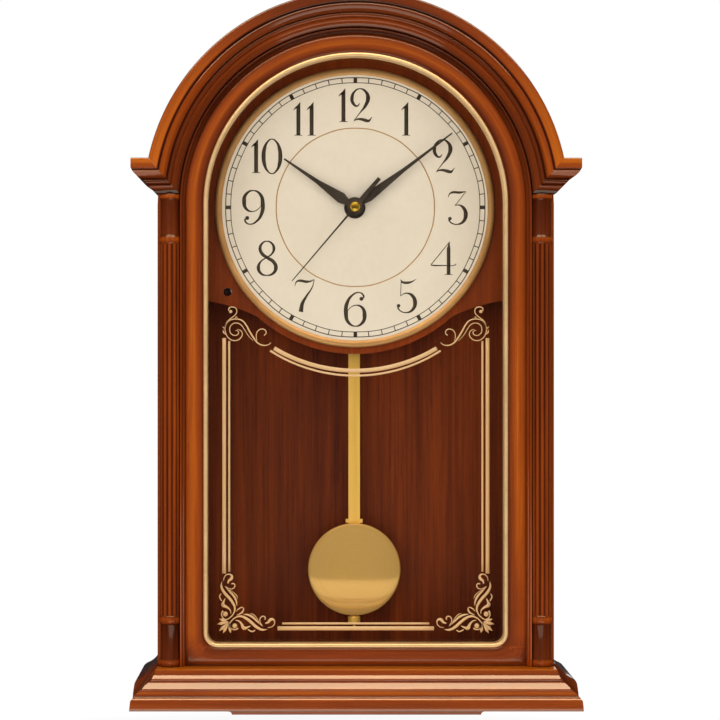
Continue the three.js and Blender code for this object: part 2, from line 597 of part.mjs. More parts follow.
function buildMotor() {
  const z = ARCH_HEIGHT;
  const outline = [
    v2(STATOR_X - 2, z - 34), v2(STATOR_X + 2, z - 34), v2(STATOR_X + 2, z - 19), v2(STATOR_X + 5, z - 16),
    v2(STATOR_X + 5, z - 6.2), v2(STATOR_X - 5, z - 6.2), v2(STATOR_X - 5, z - 16), v2(STATOR_X - 2, z - 19),
  ];
  const stator = plate(outline, 21.2, 22.2, [circle(ROTOR.x, ROTOR.z, 3.1, 20)]);
  add('stator', stator, finish('#8c8f93', 0.35, 1));
  const winding = [
    [2.3, -32.5], [4.6, -32.5], [4.6, -31.7], [4, -31.7], [4, -21.8], [4.6, -21.8], [4.6, -21], [2.3, -21], [2.3, -32.5],
  ].map(([r, h]) => v2(r, h));
  const coil = new THREE.LatheGeometry(winding, 16).rotateX(Math.PI / 2).translate(STATOR_X, -21.7, z);
  add('motor_coil', coil, finish('#b0562a', 0.4, 0.8));
  add('circuit_board', block(2, 25, 18, 19.2, z - 34, z - 20), finish('#2f6b3a', 0.5));
}

const cell = (radius, length, nub) => [
  [0, 0], [radius - 0.5, 0], [radius, 0.5], [radius, length - 0.5], [radius - 0.5, length],
  [nub, length], [nub, length + 1.2], [0, length + 1.2],
].map(([r, h]) => v2(r, h));

function buildCells() {
  const aa = cell(7, 48, 2.6);
  const along = new THREE.LatheGeometry(aa, 20).rotateZ(-Math.PI / 2).translate(-24.6, -CELL_DEPTH, CELL_HEIGHT);
  add('battery', along, finish('#3b4a5c', 0.35, 0.6));
  for (const [side, name] of [[-1, 'contact_minus'], [1, 'contact_plus']]) {
    const edges = [side * 26.2, side * 26.8].sort((a, b) => a - b);
    add(name, block(...edges, 18, 30, CELL_HEIGHT - 5, CELL_HEIGHT + 5), finish('#c9c9c4', 0.3, 1));
  }
}

// ---- Pendulum -----------------------------------------------------------------------------
function buildPendulum() {
  const z = PIVOT_HEIGHT;
  const hookZ = z - 24;
  add('pivot_pin', disc(1, 17, 31.7, 0, z, 12), finish('#c2c4c6', 0.3, 1));
  const outline = [
    ...arc(0, z, 3.4, -0.2, Math.PI + 0.2, 10), ...arc(0, z - 12, 5.6, 0.8 * Math.PI, 1.2 * Math.PI, 5),
    ...arc(0, hookZ, 3.2, Math.PI, 2 * Math.PI, 8), ...arc(0, z - 12, 5.6, -0.2 * Math.PI, 0.2 * Math.PI, 5),
  ];
  const arm = plate(outline, 20.9, 23.9, [circle(0, z, 1.25, 16)]);
  add('pendulum_arm', join(arm, disc(1.1, 18.2, 21.5, 0, hookZ, 14)), NYLON);
  add('drive_coil', ring(2.2, 5.4, 25.4, 30.2, 0, z - 7.4, 20), finish('#b0562a', 0.4, 0.8));

  const w = ROD_HALF_WIDTH;
  const bar = plate([
    ...arc(0, hookZ, w, 0, Math.PI, 10), v2(-w, 132.4), v2(-6.4, 132.4), v2(-6.4, 129.6), v2(-w, 129.6),
    v2(-w, 66), v2(w, 66), v2(w, 129.6), v2(6.4, 129.6), v2(6.4, 132.4), v2(w, 132.4),
  ], ROD_DEPTH - 0.5, ROD_DEPTH + 0.5, [circle(0, hookZ, 1.5, 16)]);
  const stud = new THREE.CylinderGeometry(0.9, 0.9, 24, 10).rotateX(Math.PI / 2).translate(0, -ROD_DEPTH, 60);
  add('pendulum_rod', join(bar, stud), finish('#c9a45c', 0.3, 1));

  const dome = [];
  for (const [offset, sense] of [[0, 1], [-0.8, -1]]) {
    const points = [];
    for (let i = 0; i <= 5; i += 1) {
      const radius = BOB_RADIUS * i / 5;
      const rise = 5.4 * (1 - (radius / BOB_RADIUS) ** 2);
      points.push([radius, 23.2 + offset + rise]);
    }
    dome.push(...(sense > 0 ? points : points.reverse()));
  }
  add('bob_front', turned(dome, 0, BOB_HEIGHT, 40), finish('#c9a45c', 0.3, 1));
  const backing = [[0, 21.2], [BOB_RADIUS - 0.6, 21.2], [BOB_RADIUS - 0.4, 21.9], [0, 21.9]];
  add('bob_back', turned(backing, 0, BOB_HEIGHT, 40), finish('#a8925a', 0.4, 1));
  const nut = [[1.3, -3], [4, -3], [4.6, -2.4], [4.6, 2.4], [4, 3], [1.3, 3], [1.3, -3]].map(([r, h]) => v2(r, h));
  const nutMesh = new THREE.LatheGeometry(nut, 16).rotateX(Math.PI / 2).translate(0, -ROD_DEPTH, 55.8);
  add('rating_nut', nutMesh, BRASS);
}

// ---- Chime: box, cells, speaker, night sensor and its lead ---------------------------------
function buildChime() {
  const [x0, x1, z0, z1] = [46, 90, 326, 400];
  const tray = cut(block(x0, x1, 14, MOVEMENT_FRONT, z0, z1), block(x0 + 2, x1 - 2, 10, 31.6, z0 + 2, z1 - 2));
  add('chime_box', tray, PLASTIC);
  for (const [index, x] of [[1, 57.5], [2, 77.5]]) {
    const upright = new THREE.LatheGeometry(cell(7, 48, 2.6), 16).rotateX(Math.PI / 2);
    add(`chime_cell_${index}`, upright.translate(x, -23.4, z0 + 8), finish('#3b4a5c', 0.35, 0.6));
  }
  const driver = [
    [0, 18], [10, 18], [10.5, 18.5], [10.5, 23.5], [14, 24.5], [24, 31.4], [28, 31.4], [28, 33.6],
    [24.5, 33.6], [22, 31.5], [8, 28.6], [0, 29.6],
  ];
  add('speaker', turned(driver, -64, 362, 24), finish('#2c2c2e', 0.5, 0.3));
  const lens = [[0, 30.4], [2.8, 30.4], [2.8, 36], [2, 37], [0, 37.4]];
  add('light_sensor', turned(lens, SENSOR.x, SENSOR.z, 16), finish('#4a1d16', 0.3));

  const depth = -32.2;
  const corners = [
    v3(SENSOR.x, -30, SENSOR.z), v3(SENSOR.x, -27.6, SENSOR.z), v3(-100, depth + 3, SENSOR.z + 8),
    v3(-102, depth, 330), v3(-101, depth, 385), v3(-92, depth, 404), v3(-50, depth, 407),
    v3(20, depth, 407), v3(52, depth, 408), v3(60, -30, 407), v3(61, -28, 400.3),
  ];
  const route = new THREE.CatmullRomCurve3(corners, false, 'centripetal');
  const lead = new THREE.ExtrudeGeometry(new THREE.Shape(circle(0, 0, 0.8, 6)), {
    steps: 40, bevelEnabled: false, extrudePath: route,
  });
  add('sensor_lead', lead, finish('#a31d14', 0.5));
}

buildCarcase();
buildFront();
buildCornice();
buildColumns();
buildPlinth();
buildDial();
buildHands();
buildRunningTrain();
buildMotionWork();
buildMovement();
buildMotor();
buildCells();
buildPendulum();
buildChime();

clock.position.z = -HANG_HEIGHT;
export default clock;
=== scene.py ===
import math

import bmesh
import bpy
from mathutils import Matrix, Vector


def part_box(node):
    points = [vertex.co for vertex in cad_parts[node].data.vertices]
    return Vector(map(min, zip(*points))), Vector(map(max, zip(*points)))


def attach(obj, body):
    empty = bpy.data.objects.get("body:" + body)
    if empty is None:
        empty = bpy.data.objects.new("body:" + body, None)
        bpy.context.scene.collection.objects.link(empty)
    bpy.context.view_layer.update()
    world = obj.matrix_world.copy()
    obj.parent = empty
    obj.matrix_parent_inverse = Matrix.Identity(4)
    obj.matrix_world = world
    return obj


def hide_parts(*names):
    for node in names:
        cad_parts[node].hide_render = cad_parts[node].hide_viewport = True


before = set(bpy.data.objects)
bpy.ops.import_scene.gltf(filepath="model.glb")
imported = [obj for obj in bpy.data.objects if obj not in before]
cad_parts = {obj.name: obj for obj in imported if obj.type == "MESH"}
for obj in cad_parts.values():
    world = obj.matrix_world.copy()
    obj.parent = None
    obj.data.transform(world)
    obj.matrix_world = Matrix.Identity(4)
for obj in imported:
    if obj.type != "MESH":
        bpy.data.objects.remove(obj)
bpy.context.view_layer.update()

# ---- Measures, in millimetres ---------------------------------------------------------------
# A place is given as (across from the middle, out from the wall, up from the foot).
MM = 0.001
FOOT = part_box("plinth_front")[0].z / MM
RING_LOW, RING_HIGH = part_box("dial_ring")
CENTRE = (RING_LOW.z + RING_HIGH.z) / 2 / MM - FOOT  # of the dial and the arch
CORNICE_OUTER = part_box("cornice_arch")[1].z / MM - FOOT - CENTRE
CORNICE_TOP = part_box("cornice_right")[1].z / MM - FOOT
CASE_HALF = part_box("side_right")[1].x / MM
LISTEL_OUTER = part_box("frame_listel")[1].x / MM
FRAME_FRONT = -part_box("front_frame")[0].y / MM
PLINTH_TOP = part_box("plinth_front")[1].z / MM - FOOT
BEAD_LOW, BEAD_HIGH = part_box("window_bead")
WINDOW_HALF = BEAD_HIGH.x / MM + 0.3
WINDOW_BOTTOM = BEAD_LOW.z / MM - FOOT - 0.3
WINDOW_CORNER = 11
GLASS_BACK = -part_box("glass_pane")[1].y / MM
CARD_FACE = -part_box("dial_plate")[0].y / MM
BOB_LOW, BOB_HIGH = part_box("bob_front")
BOB_CENTRE = (BOB_LOW.z + BOB_HIGH.z) / 2 / MM - FOOT
COLUMN_X = 135.7
GAP = 0.3
ARCH_STEPS, CORNER_STEPS, TURN_STEPS = 84, 12, 128
ROUND_OVER, SMOOTH_UNDER = math.radians(28), math.radians(40)
QUARTER, HALF, FULL = math.pi / 2, math.pi, 2 * math.pi


def spot(across, depth, height):
    return Vector((across, -depth, FOOT + height)) * MM


def shift(across=0.0, depth=0.0, height=0.0):
    return Vector((across, -depth, height)) * MM


# ---- Modelling by hand ----------------------------------------------------------------------
def start(name, place):
    """One vertex at a place, in edit mode, ready to be drawn out."""
    bpy.ops.object.select_all(action="DESELECT")
    bpy.ops.mesh.primitive_plane_add(size=MM, location=place)
    piece = bpy.context.object
    piece.name = piece.data.name = name
    bpy.ops.object.mode_set(mode="EDIT")
    bpy.ops.mesh.merge(type="CENTER")
    return piece


def pull(by):
    bpy.ops.mesh.extrude_region_move(TRANSFORM_OT_translate={"value": by})


def draw(points):
    for a, b in zip(points, points[1:]):
        pull(b - a)


def face(name, points):
    """A flat face with this outline, all of it selected."""
    piece = start(name, points[0])
    draw(points)
    bpy.ops.mesh.select_all(action="SELECT")
    bpy.ops.mesh.edge_face_add()
    return piece


def loop(name, points):
    """A closed line of edges through the points, all of it selected."""
    piece = start(name, points[0])
    draw([*points, points[0]])
    bpy.ops.mesh.select_all(action="SELECT")
    bpy.ops.mesh.remove_doubles(threshold=MM / 1000)
    return piece


def sweep(angle, centre, steps, axis=(0, 1, 0)):
    bpy.ops.mesh.spin(steps=steps, angle=angle, center=centre, axis=axis)


def close_up(piece):
    """Welds the piece, turns its faces outwards and sets its place in its mesh."""
    bpy.ops.mesh.select_all(action="SELECT")
    bpy.ops.mesh.remove_doubles(threshold=MM / 1000)
    bpy.ops.mesh.normals_make_consistent(inside=False)
    bpy.ops.object.mode_set(mode="OBJECT")
    bpy.ops.object.transform_apply(location=True, rotation=True, scale=True)
    return piece


def turned(name, points, centre):
    """A piece turned on a lathe: a line of points spun round an axis that points out from the wall."""
    piece = start(name, points[0])
    draw(points)
    bpy.ops.mesh.select_all(action="SELECT")
    sweep(FULL, centre, TURN_STEPS)
    return close_up(piece)


def chosen(piece):
    bpy.ops.object.select_all(action="DESELECT")
    piece.select_set(True)
    bpy.context.view_layer.objects.active = piece


def use(piece, kind, **values):
    """Adds a modifier with these values and applies it."""
    chosen(piece)
    modifier = piece.modifiers.new(kind.lower(), kind)
    for key, value in values.items():
        setattr(modifier, key, value)
    bpy.ops.object.modifier_apply(modifier=modifier.name)


def soften(piece, width=0):
    """Rounds the sharp edges a little and shades the rest smooth."""
    if width:
        use(piece, "BEVEL", width=width * MM, segments=2, limit_method="ANGLE", angle_limit=ROUND_OVER)
    chosen(piece)
    bpy.ops.object.shade_smooth_by_angle(angle=SMOOTH_UNDER)
    return piece


def ramp(pairs):
    """A function that runs straight between (place, value) pairs."""
    def value(t):
        if t <= pairs[0][0]:
            return pairs[0][1]
        for (t0, v0), (t1, v1) in zip(pairs, pairs[1:]):
            if t <= t1:
                return v0 + (v1 - v0) * (t - t0) / (t1 - t0)
        return pairs[-1][1]
    return value


def from_middle(p):
    """How far a point lies from the middle line of the case, which bends round the dial's centre."""
    return math.hypot(p.x, p.z - CENTRE) if p.z > CENTRE else abs(p.x)


def along_arch(p):
    """How far along the bent case a point lies, up one leg and round."""
    if p.z > CENTRE:
        return CORNICE_OUTER * math.atan2(p.x, p.z - CENTRE)
    return math.copysign(CORNICE_OUTER * QUARTER + CENTRE - p.z, p.x)


def lay_grain(piece, along, across, stain):
    """Sets how the grain runs over a piece, as its UV map, and how deep its stain and painted shade are,
    point by point.
    """
    mesh = piece.data
    points = [Vector((v.co.x / MM, -v.co.y / MM, v.co.z / MM - FOOT)) for v in mesh.vertices]
    while mesh.uv_layers:
        mesh.uv_layers.remove(mesh.uv_layers[0])
    layer = mesh.uv_layers.new(name="grain")
    for corner in mesh.loops:
        p = points[corner.vertex_index]
        layer.data[corner.index].uv = (along(p) * MM, across(p) * MM)
    tone = mesh.attributes.new("stain", "FLOAT", "POINT")
    for i, p in enumerate(points):
        tone.data[i].value = stain(p)


def dress(piece, material, body="case", slot=None, stands_for=()):
    """Gives a piece its finish and its body, and hides the frame's nodes that it stands for."""
    piece.data.materials.clear()
    piece.data.materials.append(material)
    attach(piece, body)
    if stands_for:
        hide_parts(*stands_for)
    return piece


# ---- Finishes -------------------------------------------------------------------------------
def srgb(code):
    """A colour as linear light, from its six hexadecimal digits."""
    parts = [int(code[i:i + 2], 16) / 255 for i in (0, 2, 4)]
    return (*[c / 12.92 if c <= 0.04045 else ((c + 0.055) / 1.055) ** 2.4 for c in parts], 1)


class Board:
    """Places nodes and joins their sockets in one node tree."""

    def __init__(self, tree):
        self.tree = tree
        tree.nodes.clear()

    def node(self, kind, settings=None, **inputs):
        made = self.tree.nodes.new(kind)
        for key, value in (settings or {}).items():
            setattr(made, key, value)
        for key, value in inputs.items():
            name = key.replace("_", " ")
            by_number = name[0] == "i" and name[1:].isdigit()
            self.feed(made.inputs[int(name[1:]) if by_number else name], value)
        return made

    def feed(self, socket, value):
        if isinstance(value, bpy.types.NodeSocket):
            self.tree.links.new(value, socket)
        else:
            socket.default_value = value

    def math(self, operation, first, second=0.0, third=None, clamp=False):
        made = self.node("ShaderNodeMath", {"operation": operation, "use_clamp": clamp}, i0=first, i1=second)
        if third is not None:
            self.feed(made.inputs[2], third)
        return made.outputs[0]

    def stretch(self, vector, factors):
        made = self.node("ShaderNodeVectorMath", {"operation": "MULTIPLY"}, i0=vector, i1=factors)
        return made.outputs[0]

    def noise(self, vector, detail=3.0, roughness=0.5, distortion=0.0, scale=1.0):
        made = self.node("ShaderNodeTexNoise", None, Vector=vector, Scale=scale, Detail=detail,
                         Roughness=roughness, Distortion=distortion)
        return made.outputs["Fac"]

    def span(self, value, low, high, out_low=0.0, out_high=1.0):
        made = self.node("ShaderNodeMapRange", {"clamp": True})
        for index, v in enumerate((value, low, high, out_low, out_high)):
            self.feed(made.inputs[index], v)
        return made.outputs[0]

    def colours(self, value, stops):
        made = self.node("ShaderNodeValToRGB", None, Fac=value)
        line = made.color_ramp
        line.elements[0].position, line.elements[-1].position = stops[0][0], stops[-1][0]
        for place, _ in stops[1:-1]:
            line.elements.new(place)
        for element, (_, code) in zip(line.elements, stops):
            element.color = srgb(code)
        return made.outputs["Color"]

    def mix(self, share, first, second):
        made = self.node("ShaderNodeMix", {"data_type": "RGBA"})
        self.feed(made.inputs[0], share)
        self.feed(made.inputs[6], first)
        self.feed(made.inputs[7], second)
        return made.outputs[2]


def group(name, inputs, outputs):
    tree = bpy.data.node_groups.new(name, "ShaderNodeTree")
    for label, kind, value in inputs:
        socket = tree.interface.new_socket(label, in_out="INPUT", socket_type=kind)
        if value is not None:
            socket.default_value = value
    for label, kind in outputs:
        tree.interface.new_socket(label, in_out="OUTPUT", socket_type=kind)
    board = Board(tree)
    return board, tree.nodes.new("NodeGroupInput").outputs, tree.nodes.new("NodeGroupOutput").inputs


FLOAT, COLOUR, VECTOR = "NodeSocketFloat", "NodeSocketColor", "NodeSocketVector"
STAIN_SCALE = [
    (0.0, "180500"), (0.2, "421403"), (0.4, "6c2a08"), (0.6, "963e08"), (0.8, "c2600c"), (1.0, "dc7a16"),
]


def make_wood_group():
    """Grain of stained wood. Grain is in metres: along it in X, across it in Y and Z."""
    b, given, out = group(
        "wood_grain",
        [("Grain", VECTOR, None), ("Stain", FLOAT, 0.5), ("Figure", FLOAT, 0.3), ("Gloss", FLOAT, 0.3)],
        [("Color", COLOUR), ("Roughness", FLOAT), ("Height", FLOAT)])
    grain = given["Grain"]
    clouds = b.noise(b.stretch(grain, (5, 22, 22)), 2, 0.5)
    bands = b.noise(b.stretch(grain, (4.5, 170, 170)), 4, 0.6, 0.4)
    lines = b.noise(b.stretch(grain, (22, 1100, 1100)), 3, 0.6)
    pores = b.span(b.noise(b.stretch(grain, (130, 2600, 2600)), 2, 0.5), 0.6, 0.72)
    figure = b.math("MULTIPLY_ADD", bands, 0.4, b.math("MULTIPLY", lines, 0.25))
    figure = b.math("MULTIPLY_ADD", clouds, 0.35, figure)
    lift = b.math("MULTIPLY", b.math("SUBTRACT", figure, 0.5), given["Figure"])
    level = b.math("ADD", given["Stain"], b.math("MULTIPLY", lift, 2.4))
    level = b.math("SUBTRACT", level, b.math("MULTIPLY", pores, 0.07), clamp=True)
    b.feed(out["Color"], b.colours(level, STAIN_SCALE))
    b.feed(out["Roughness"], b.math("MULTIPLY_ADD", lines, 0.16, given["Gloss"]))
    b.feed(out["Height"], b.math("SUBTRACT", b.math("MULTIPLY", lines, 0.4), pores))
    return b.tree


def make_texture_group():
    """Fine variation of a plain surface: two shades, and a rougher and a smoother state."""
    b, given, out = group(
        "fine_texture",
        [("Vector", VECTOR, None), ("First", COLOUR, None), ("Second", COLOUR, None), ("Scale", FLOAT, 900.0),
         ("Smooth", FLOAT, 0.3), ("Rough", FLOAT, 0.5)],
        [("Color", COLOUR), ("Roughness", FLOAT), ("Height", FLOAT)])
    fine = b.noise(given["Vector"], 4, 0.6, 0, given["Scale"])
    broad = b.noise(given["Vector"], 3, 0.55, 0.3, b.math("MULTIPLY", given["Scale"], 0.06))
    share = b.span(b.math("MULTIPLY_ADD", fine, 0.4, b.math("MULTIPLY", broad, 0.6)), 0.38, 0.62)
    b.feed(out["Color"], b.mix(share, given["First"], given["Second"]))
    spread = b.math("SUBTRACT", given["Rough"], given["Smooth"])
    b.feed(out["Roughness"], b.math("MULTIPLY_ADD", spread, share, given["Smooth"]))
    b.feed(out["Height"], fine)
    return b.tree


WOOD_GROUP = make_wood_group()
TEXTURE_GROUP = make_texture_group()


def new_material(name):
    material = bpy.data.materials.new(name)
    material.use_nodes = True
    return material, Board(material.node_tree)


def finish_shader(b, relief, strength, distance, **inputs):
    """The Principled shader at the end of a material, over a bump of the given relief."""
    bump = b.node("ShaderNodeBump", None, Height=relief, Strength=strength, Distance=distance)
    shader = b.node("ShaderNodeBsdfPrincipled", None, Normal=bump.outputs[0], **inputs)
    b.node("ShaderNodeOutputMaterial", None, Surface=shader.outputs[0])
    return shader


def wood(name, stain=None, figure=0.36, gloss=0.26, turn=(0, 0, 0), coat=0.4, scale=1.0):
    """Stained wood. With no stain of its own it reads the piece's grain map and its stain with painted light
    and shade, point by point.
    """
    material, b = new_material(name)
    if stain is None:
        grain = b.node("ShaderNodeUVMap", {"uv_map": "grain"}).outputs[0]
        stain = b.node("ShaderNodeAttribute", {"attribute_name": "stain"}).outputs["Fac"]
    else:
        place = b.node("ShaderNodeTexCoord").outputs["Object"]
        grain = b.node("ShaderNodeMapping", None, Vector=place, Rotation=turn, Scale=(scale,) * 3).outputs[0]
    wooden = b.node("ShaderNodeGroup", {"node_tree": WOOD_GROUP}, Grain=grain, Stain=stain, Figure=figure,
                    Gloss=gloss)
    finish_shader(b, wooden.outputs["Height"], 0.25, 0.00012, Base_Color=wooden.outputs["Color"],
                  Roughness=wooden.outputs["Roughness"], Specular_IOR_Level=0.06, Coat_Weight=coat,
                  Coat_Roughness=0.09)
    return material


def plain(name, first, second, scale=900.0, smooth=0.35, rough=0.5, metallic=0.0, relief=0.05, **inputs):
    """A plain material of two close shades with a fine texture."""
    material, b = new_material(name)
    place = b.node("ShaderNodeTexCoord").outputs["Object"]
    fine = b.node("ShaderNodeGroup", {"node_tree": TEXTURE_GROUP}, Vector=place, First=srgb(first),
                  Second=srgb(second), Scale=scale, Smooth=smooth, Rough=rough)
    finish_shader(b, fine.outputs["Height"], relief, 0.0001, Base_Color=fine.outputs["Color"],
                  Roughness=fine.outputs["Roughness"], Metallic=metallic, **inputs)
    return material


def brushed(name, first, second, strokes, smooth=0.25, rough=0.4, spun=False, anisotropic=0.0, metallic=1.0):
    """Metal with long brush marks: strokes are how close they lie along X, Y and Z."""
    material, b = new_material(name)
    if spun:
        place = b.node("ShaderNodeUVMap", {"uv_map": "spin"}).outputs[0]
    else:
        place = b.node("ShaderNodeTexCoord").outputs["Object"]
    marks = b.stretch(place, strokes)
    fine = b.node("ShaderNodeGroup", {"node_tree": TEXTURE_GROUP}, Vector=marks, First=srgb(first),
                  Second=srgb(second), Scale=1.0, Smooth=smooth, Rough=rough)
    shader = finish_shader(b, fine.outputs["Height"], 0.12, 0.00005, Base_Color=fine.outputs["Color"],
                           Roughness=fine.outputs["Roughness"], Metallic=metallic, Anisotropic=anisotropic)
    if spun:
        tangent = b.node("ShaderNodeTangent", {"direction_type": "UV_MAP", "uv_map": "spin"})
        b.feed(shader.inputs["Tangent"], tangent.outputs[0])
    return material


def clear_glass(name):
    """Clear glass that lets lamps through to what is behind it."""
    material, b = new_material(name)
    shader = b.node("ShaderNodeBsdfPrincipled", None, Base_Color=(1, 1, 1, 1), Roughness=0.02, IOR=1.3,
                    Transmission_Weight=1.0)
    clear = b.node("ShaderNodeBsdfTransparent")
    path = b.node("ShaderNodeLightPath")
    lamp = b.math("MAXIMUM", path.outputs["Is Shadow Ray"], path.outputs["Is Diffuse Ray"])
    both = b.node("ShaderNodeMixShader", None, Fac=lamp, i1=shader.outputs[0], i2=clear.outputs[0])
    b.node("ShaderNodeOutputMaterial", None, Surface=both.outputs[0])
    return material


UPRIGHT = (0, QUARTER, 0)
FINISHES = {
    "moulding": wood("moulding_wood"),
    "plinth": wood("plinth_wood", gloss=0.24, coat=1.0),
    "column": wood("column_wood", gloss=0.24, coat=0.22),
    "upright": wood("upright_wood", 0.52, turn=UPRIGHT),
    "level": wood("level_wood", 0.5),
    "back": wood("back_veneer", 0.36, figure=0.5, gloss=0.45, turn=UPRIGHT, coat=0.0, scale=0.55),
    "board": wood("dial_board_wood", 0.5, figure=0.3, gloss=0.36, turn=UPRIGHT, coat=0.1, scale=0.7),
    "rough": wood("inside_wood", 0.34, figure=0.3, gloss=0.5, turn=UPRIGHT, coat=0.0),
    "gilt": plain("gilt_bead", "d8b07a", "e0bb86", 500, 0.3, 0.42, 0.25, 0.02),
    "ring": plain("gilt_ring", "b28247", "bd8d52", 600, 0.3, 0.42, 0.3, 0.02),
    "rod": brushed("rod_brass", "dcab45", "e5b54e", (2600, 2600, 40), 0.3, 0.44, metallic=0.25),
    "bob": brushed("spun_brass", "f3bd62", "f7c570", (1.5, 14000, 1), 0.08, 0.12, spun=True, anisotropic=0.2,
                   metallic=0.45),
    "glass": clear_glass("window_glass"),
    "card": plain("dial_card", "eedfc6", "e9dabf", 260, 0.5, 0.62, relief=0.03, Specular_IOR_Level=0.15),
    "ink": plain("dial_ink", "33271a", "3c2f1f", 1200, 0.45, 0.6, relief=0.03, Specular_IOR_Level=0.2),
    "fine_gilt": plain("dial_gilt_line", "a87630", "b5853e", 900, 0.4, 0.55, relief=0.02),
    "print": plain("glass_print", "e7b57e", "dcae70", 500, 0.45, 0.6, relief=0.03),
    "hand": plain("hand_lacquer", "1f1611", "2a1f18", 700, 0.3, 0.45, relief=0.04),
    "cap": plain("cap_brass", "d8b23a", "efcd5a", 900, 0.18, 0.3, 1.0, 0.03),
    "brass": plain("wheel_brass", "b98f3f", "d3aa55", 800, 0.28, 0.45, 1.0, 0.05),
    "steel": plain("steel", "9b9b98", "b9b8b2", 700, 0.28, 0.45, 1.0, 0.06),
    "black": plain("black_plastic", "161616", "1f1f20", 2200, 0.4, 0.58, relief=0.12),
    "nylon": plain("nylon", "e9e4d5", "f2eee2", 1200, 0.4, 0.55, relief=0.04),
    "knob": plain("knob_plastic", "202022", "2b2b2d", 1500, 0.38, 0.55, relief=0.08),
    "magnet": plain("magnet", "33343a", "45464c", 1200, 0.3, 0.5, 0.8, 0.05),
    "copper": brushed("copper_winding", "8a3f17", "c46a31", (1, 3400, 1), 0.3, 0.45),
    "circuit": plain("circuit_green", "124a2b", "1a5c37", 1300, 0.3, 0.5, relief=0.08),
    "cell": plain("cell_wrap", "22323f", "31495c", 500, 0.2, 0.35, 0.3, 0.03),
    "speaker": plain("speaker_cone", "1c1c1e", "28282b", 1800, 0.5, 0.7, relief=0.15),
    "lens": plain("sensor_lens", "1b0705", "2a0c08", 700, 0.1, 0.2, relief=0.02),
    "lead": plain("lead_red", "8e1a12", "a32218", 900, 0.4, 0.55, relief=0.05),
}

# ---- Mouldings ------------------------------------------------------------------------------
# Face of the cornice as (distance in from its outer edge, depth), and its stain at each distance, with
# painted shade in the grooves and at the inner edge, and painted light on the fascia's middle and the
# shoulders' top edge.
CORNICE_FACE = [
    (0, 84.4), (0.4, 85.6), (1.2, 86), (1.8, 86), (6.9, 86), (7.5, 86), (8.3, 85.5), (8.7, 84.4),
    (9.3, 84.4), (9.5, 85.1), (10, 85.3), (12.6, 84.4), (14.2, 82.9), (14.9, 81.6), (15.3, 80.5),
    (15.7, 80.9), (16.6, 81.1), (17.8, 80.7), (18.5, 79.9), (19, 79), (19.6, 79.4), (20.6, 79.2),
    (21.5, 78.6), (22.3, 77.5), (22.9, 76.9), (24.8, 76.2),
]
CORNICE_INNER = CORNICE_FACE[-1][0]
# Stain across the arch, with painted light: dark glaze and painted shade in the grooves, painted shade at the
# inner edge, and a painted highlight across the fascia's middle.
ARCH_STAIN_AND_SHADE = ramp([
    (0, 0.55), (0.5, 0.7), (2.5, 0.8), (4.2, 0.97), (5.8, 0.97), (7, 0.8), (7.6, 0.6), (8.2, 0.16),
    (8.7, 0.2), (9.2, 0.5), (10.2, 0.68), (12.2, 0.74), (13.4, 0.6), (14.6, 0.5), (15.2, 0.16), (16, 0.2),
    (16.8, 0.38), (17.8, 0.44), (18.4, 0.34), (19, 0.46), (20, 0.5), (21, 0.46), (22.4, 0.5), (23.2, 0.4),
    (23.9, 0.14), (24.8, 0.26),
])
# Stain of the shoulders, with a painted highlight on the top edge, dark glaze and painted shade in the
# grooves, and painted shade at the lower inner edge.
SHOULDER_STAIN_AND_SHADE = ramp([
    (0, 0.84), (1.5, 0.78), (5, 0.78), (6.6, 0.66), (7.6, 0.5), (8.2, 0.2), (9, 0.36), (10.2, 0.5),
    (12.8, 0.5), (14.4, 0.36), (15, 0.14), (16, 0.18), (17.2, 0.34), (18.4, 0.32), (19, 0.12), (19.8, 0.4),
    (22, 0.46), (23, 0.16), (24.8, 0.1),
])
# Painted shade: the arch's outer bands darken towards the crown.
CROWN_SHADE = ramp([(0, 0.46), (12.8, 0.5), (15.2, 0)])


def arch_stain(p):
    """The stain of the arch's face, with painted shade that darkens its outer bands towards the crown."""
    t = CORNICE_OUTER - from_middle(p)
    rise = max(0, (p.z - CENTRE) / from_middle(p)) ** 2
    return ARCH_STAIN_AND_SHADE(t) * (1 - CROWN_SHADE(t) * rise)


WRAP_BACK = 52
WRAP_IN = CORNICE_OUTER - CASE_HALF - GAP
SHOULDER_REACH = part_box("cornice_right")[1].x / MM - CASE_HALF
COVE_START, COVE_HEIGHT = 7, 19
MITRE_CLEARANCE, MITRE_GAP = 0.0003, 0.05


def mitre_angle(t):
    """Where the arch meets its level shoulder, at a distance t in from the outer edge."""
    return math.asin((CORNICE_TOP - CENTRE - t) / (CORNICE_OUTER - t))


def mitre_x(t):
    return (CORNICE_OUTER - t) * math.cos(mitre_angle(t))


def make_cornice_arch():
    front = FRAME_FRONT + GAP
    section = [*CORNICE_FACE, (CORNICE_INNER, front), (WRAP_IN, front), (WRAP_IN, WRAP_BACK), (0, WRAP_BACK)]
    piece = face("cornice_arch_moulding", [spot(CORNICE_OUTER - t, depth, CENTRE) for t, depth in section])
    sweep(HALF, spot(0, 0, CENTRE), ARCH_STEPS)
    close_up(piece)
    middle = spot(0, 0, CENTRE).z
    for vertex in piece.data.vertices:
        x, z = vertex.co.x, max(vertex.co.z - middle, 0)
        radius = math.hypot(x, z)
        first = mitre_angle(CORNICE_OUTER - radius / MM) + MITRE_CLEARANCE
        angle = first + (HALF - 2 * first) * math.atan2(z, x) / HALF
        vertex.co.x, vertex.co.z = radius * math.cos(angle), middle + radius * math.sin(angle)
    soften(piece)
    lay_grain(piece, along_arch, lambda p: from_middle(p) + p.y, arch_stain)
    dress(piece, FINISHES["moulding"], slot="stained_wood", stands_for=["cornice_arch"])


def side_reach(t):
    """How far the shoulder stands out sideways, under its level top."""
    if t <= COVE_START:
        return SHOULDER_REACH
    share = min((t - COVE_START) / COVE_HEIGHT, 1)
    return SHOULDER_REACH * (1 - share) + 1.6 * math.sin(HALF * min(2.2 * share, 1))


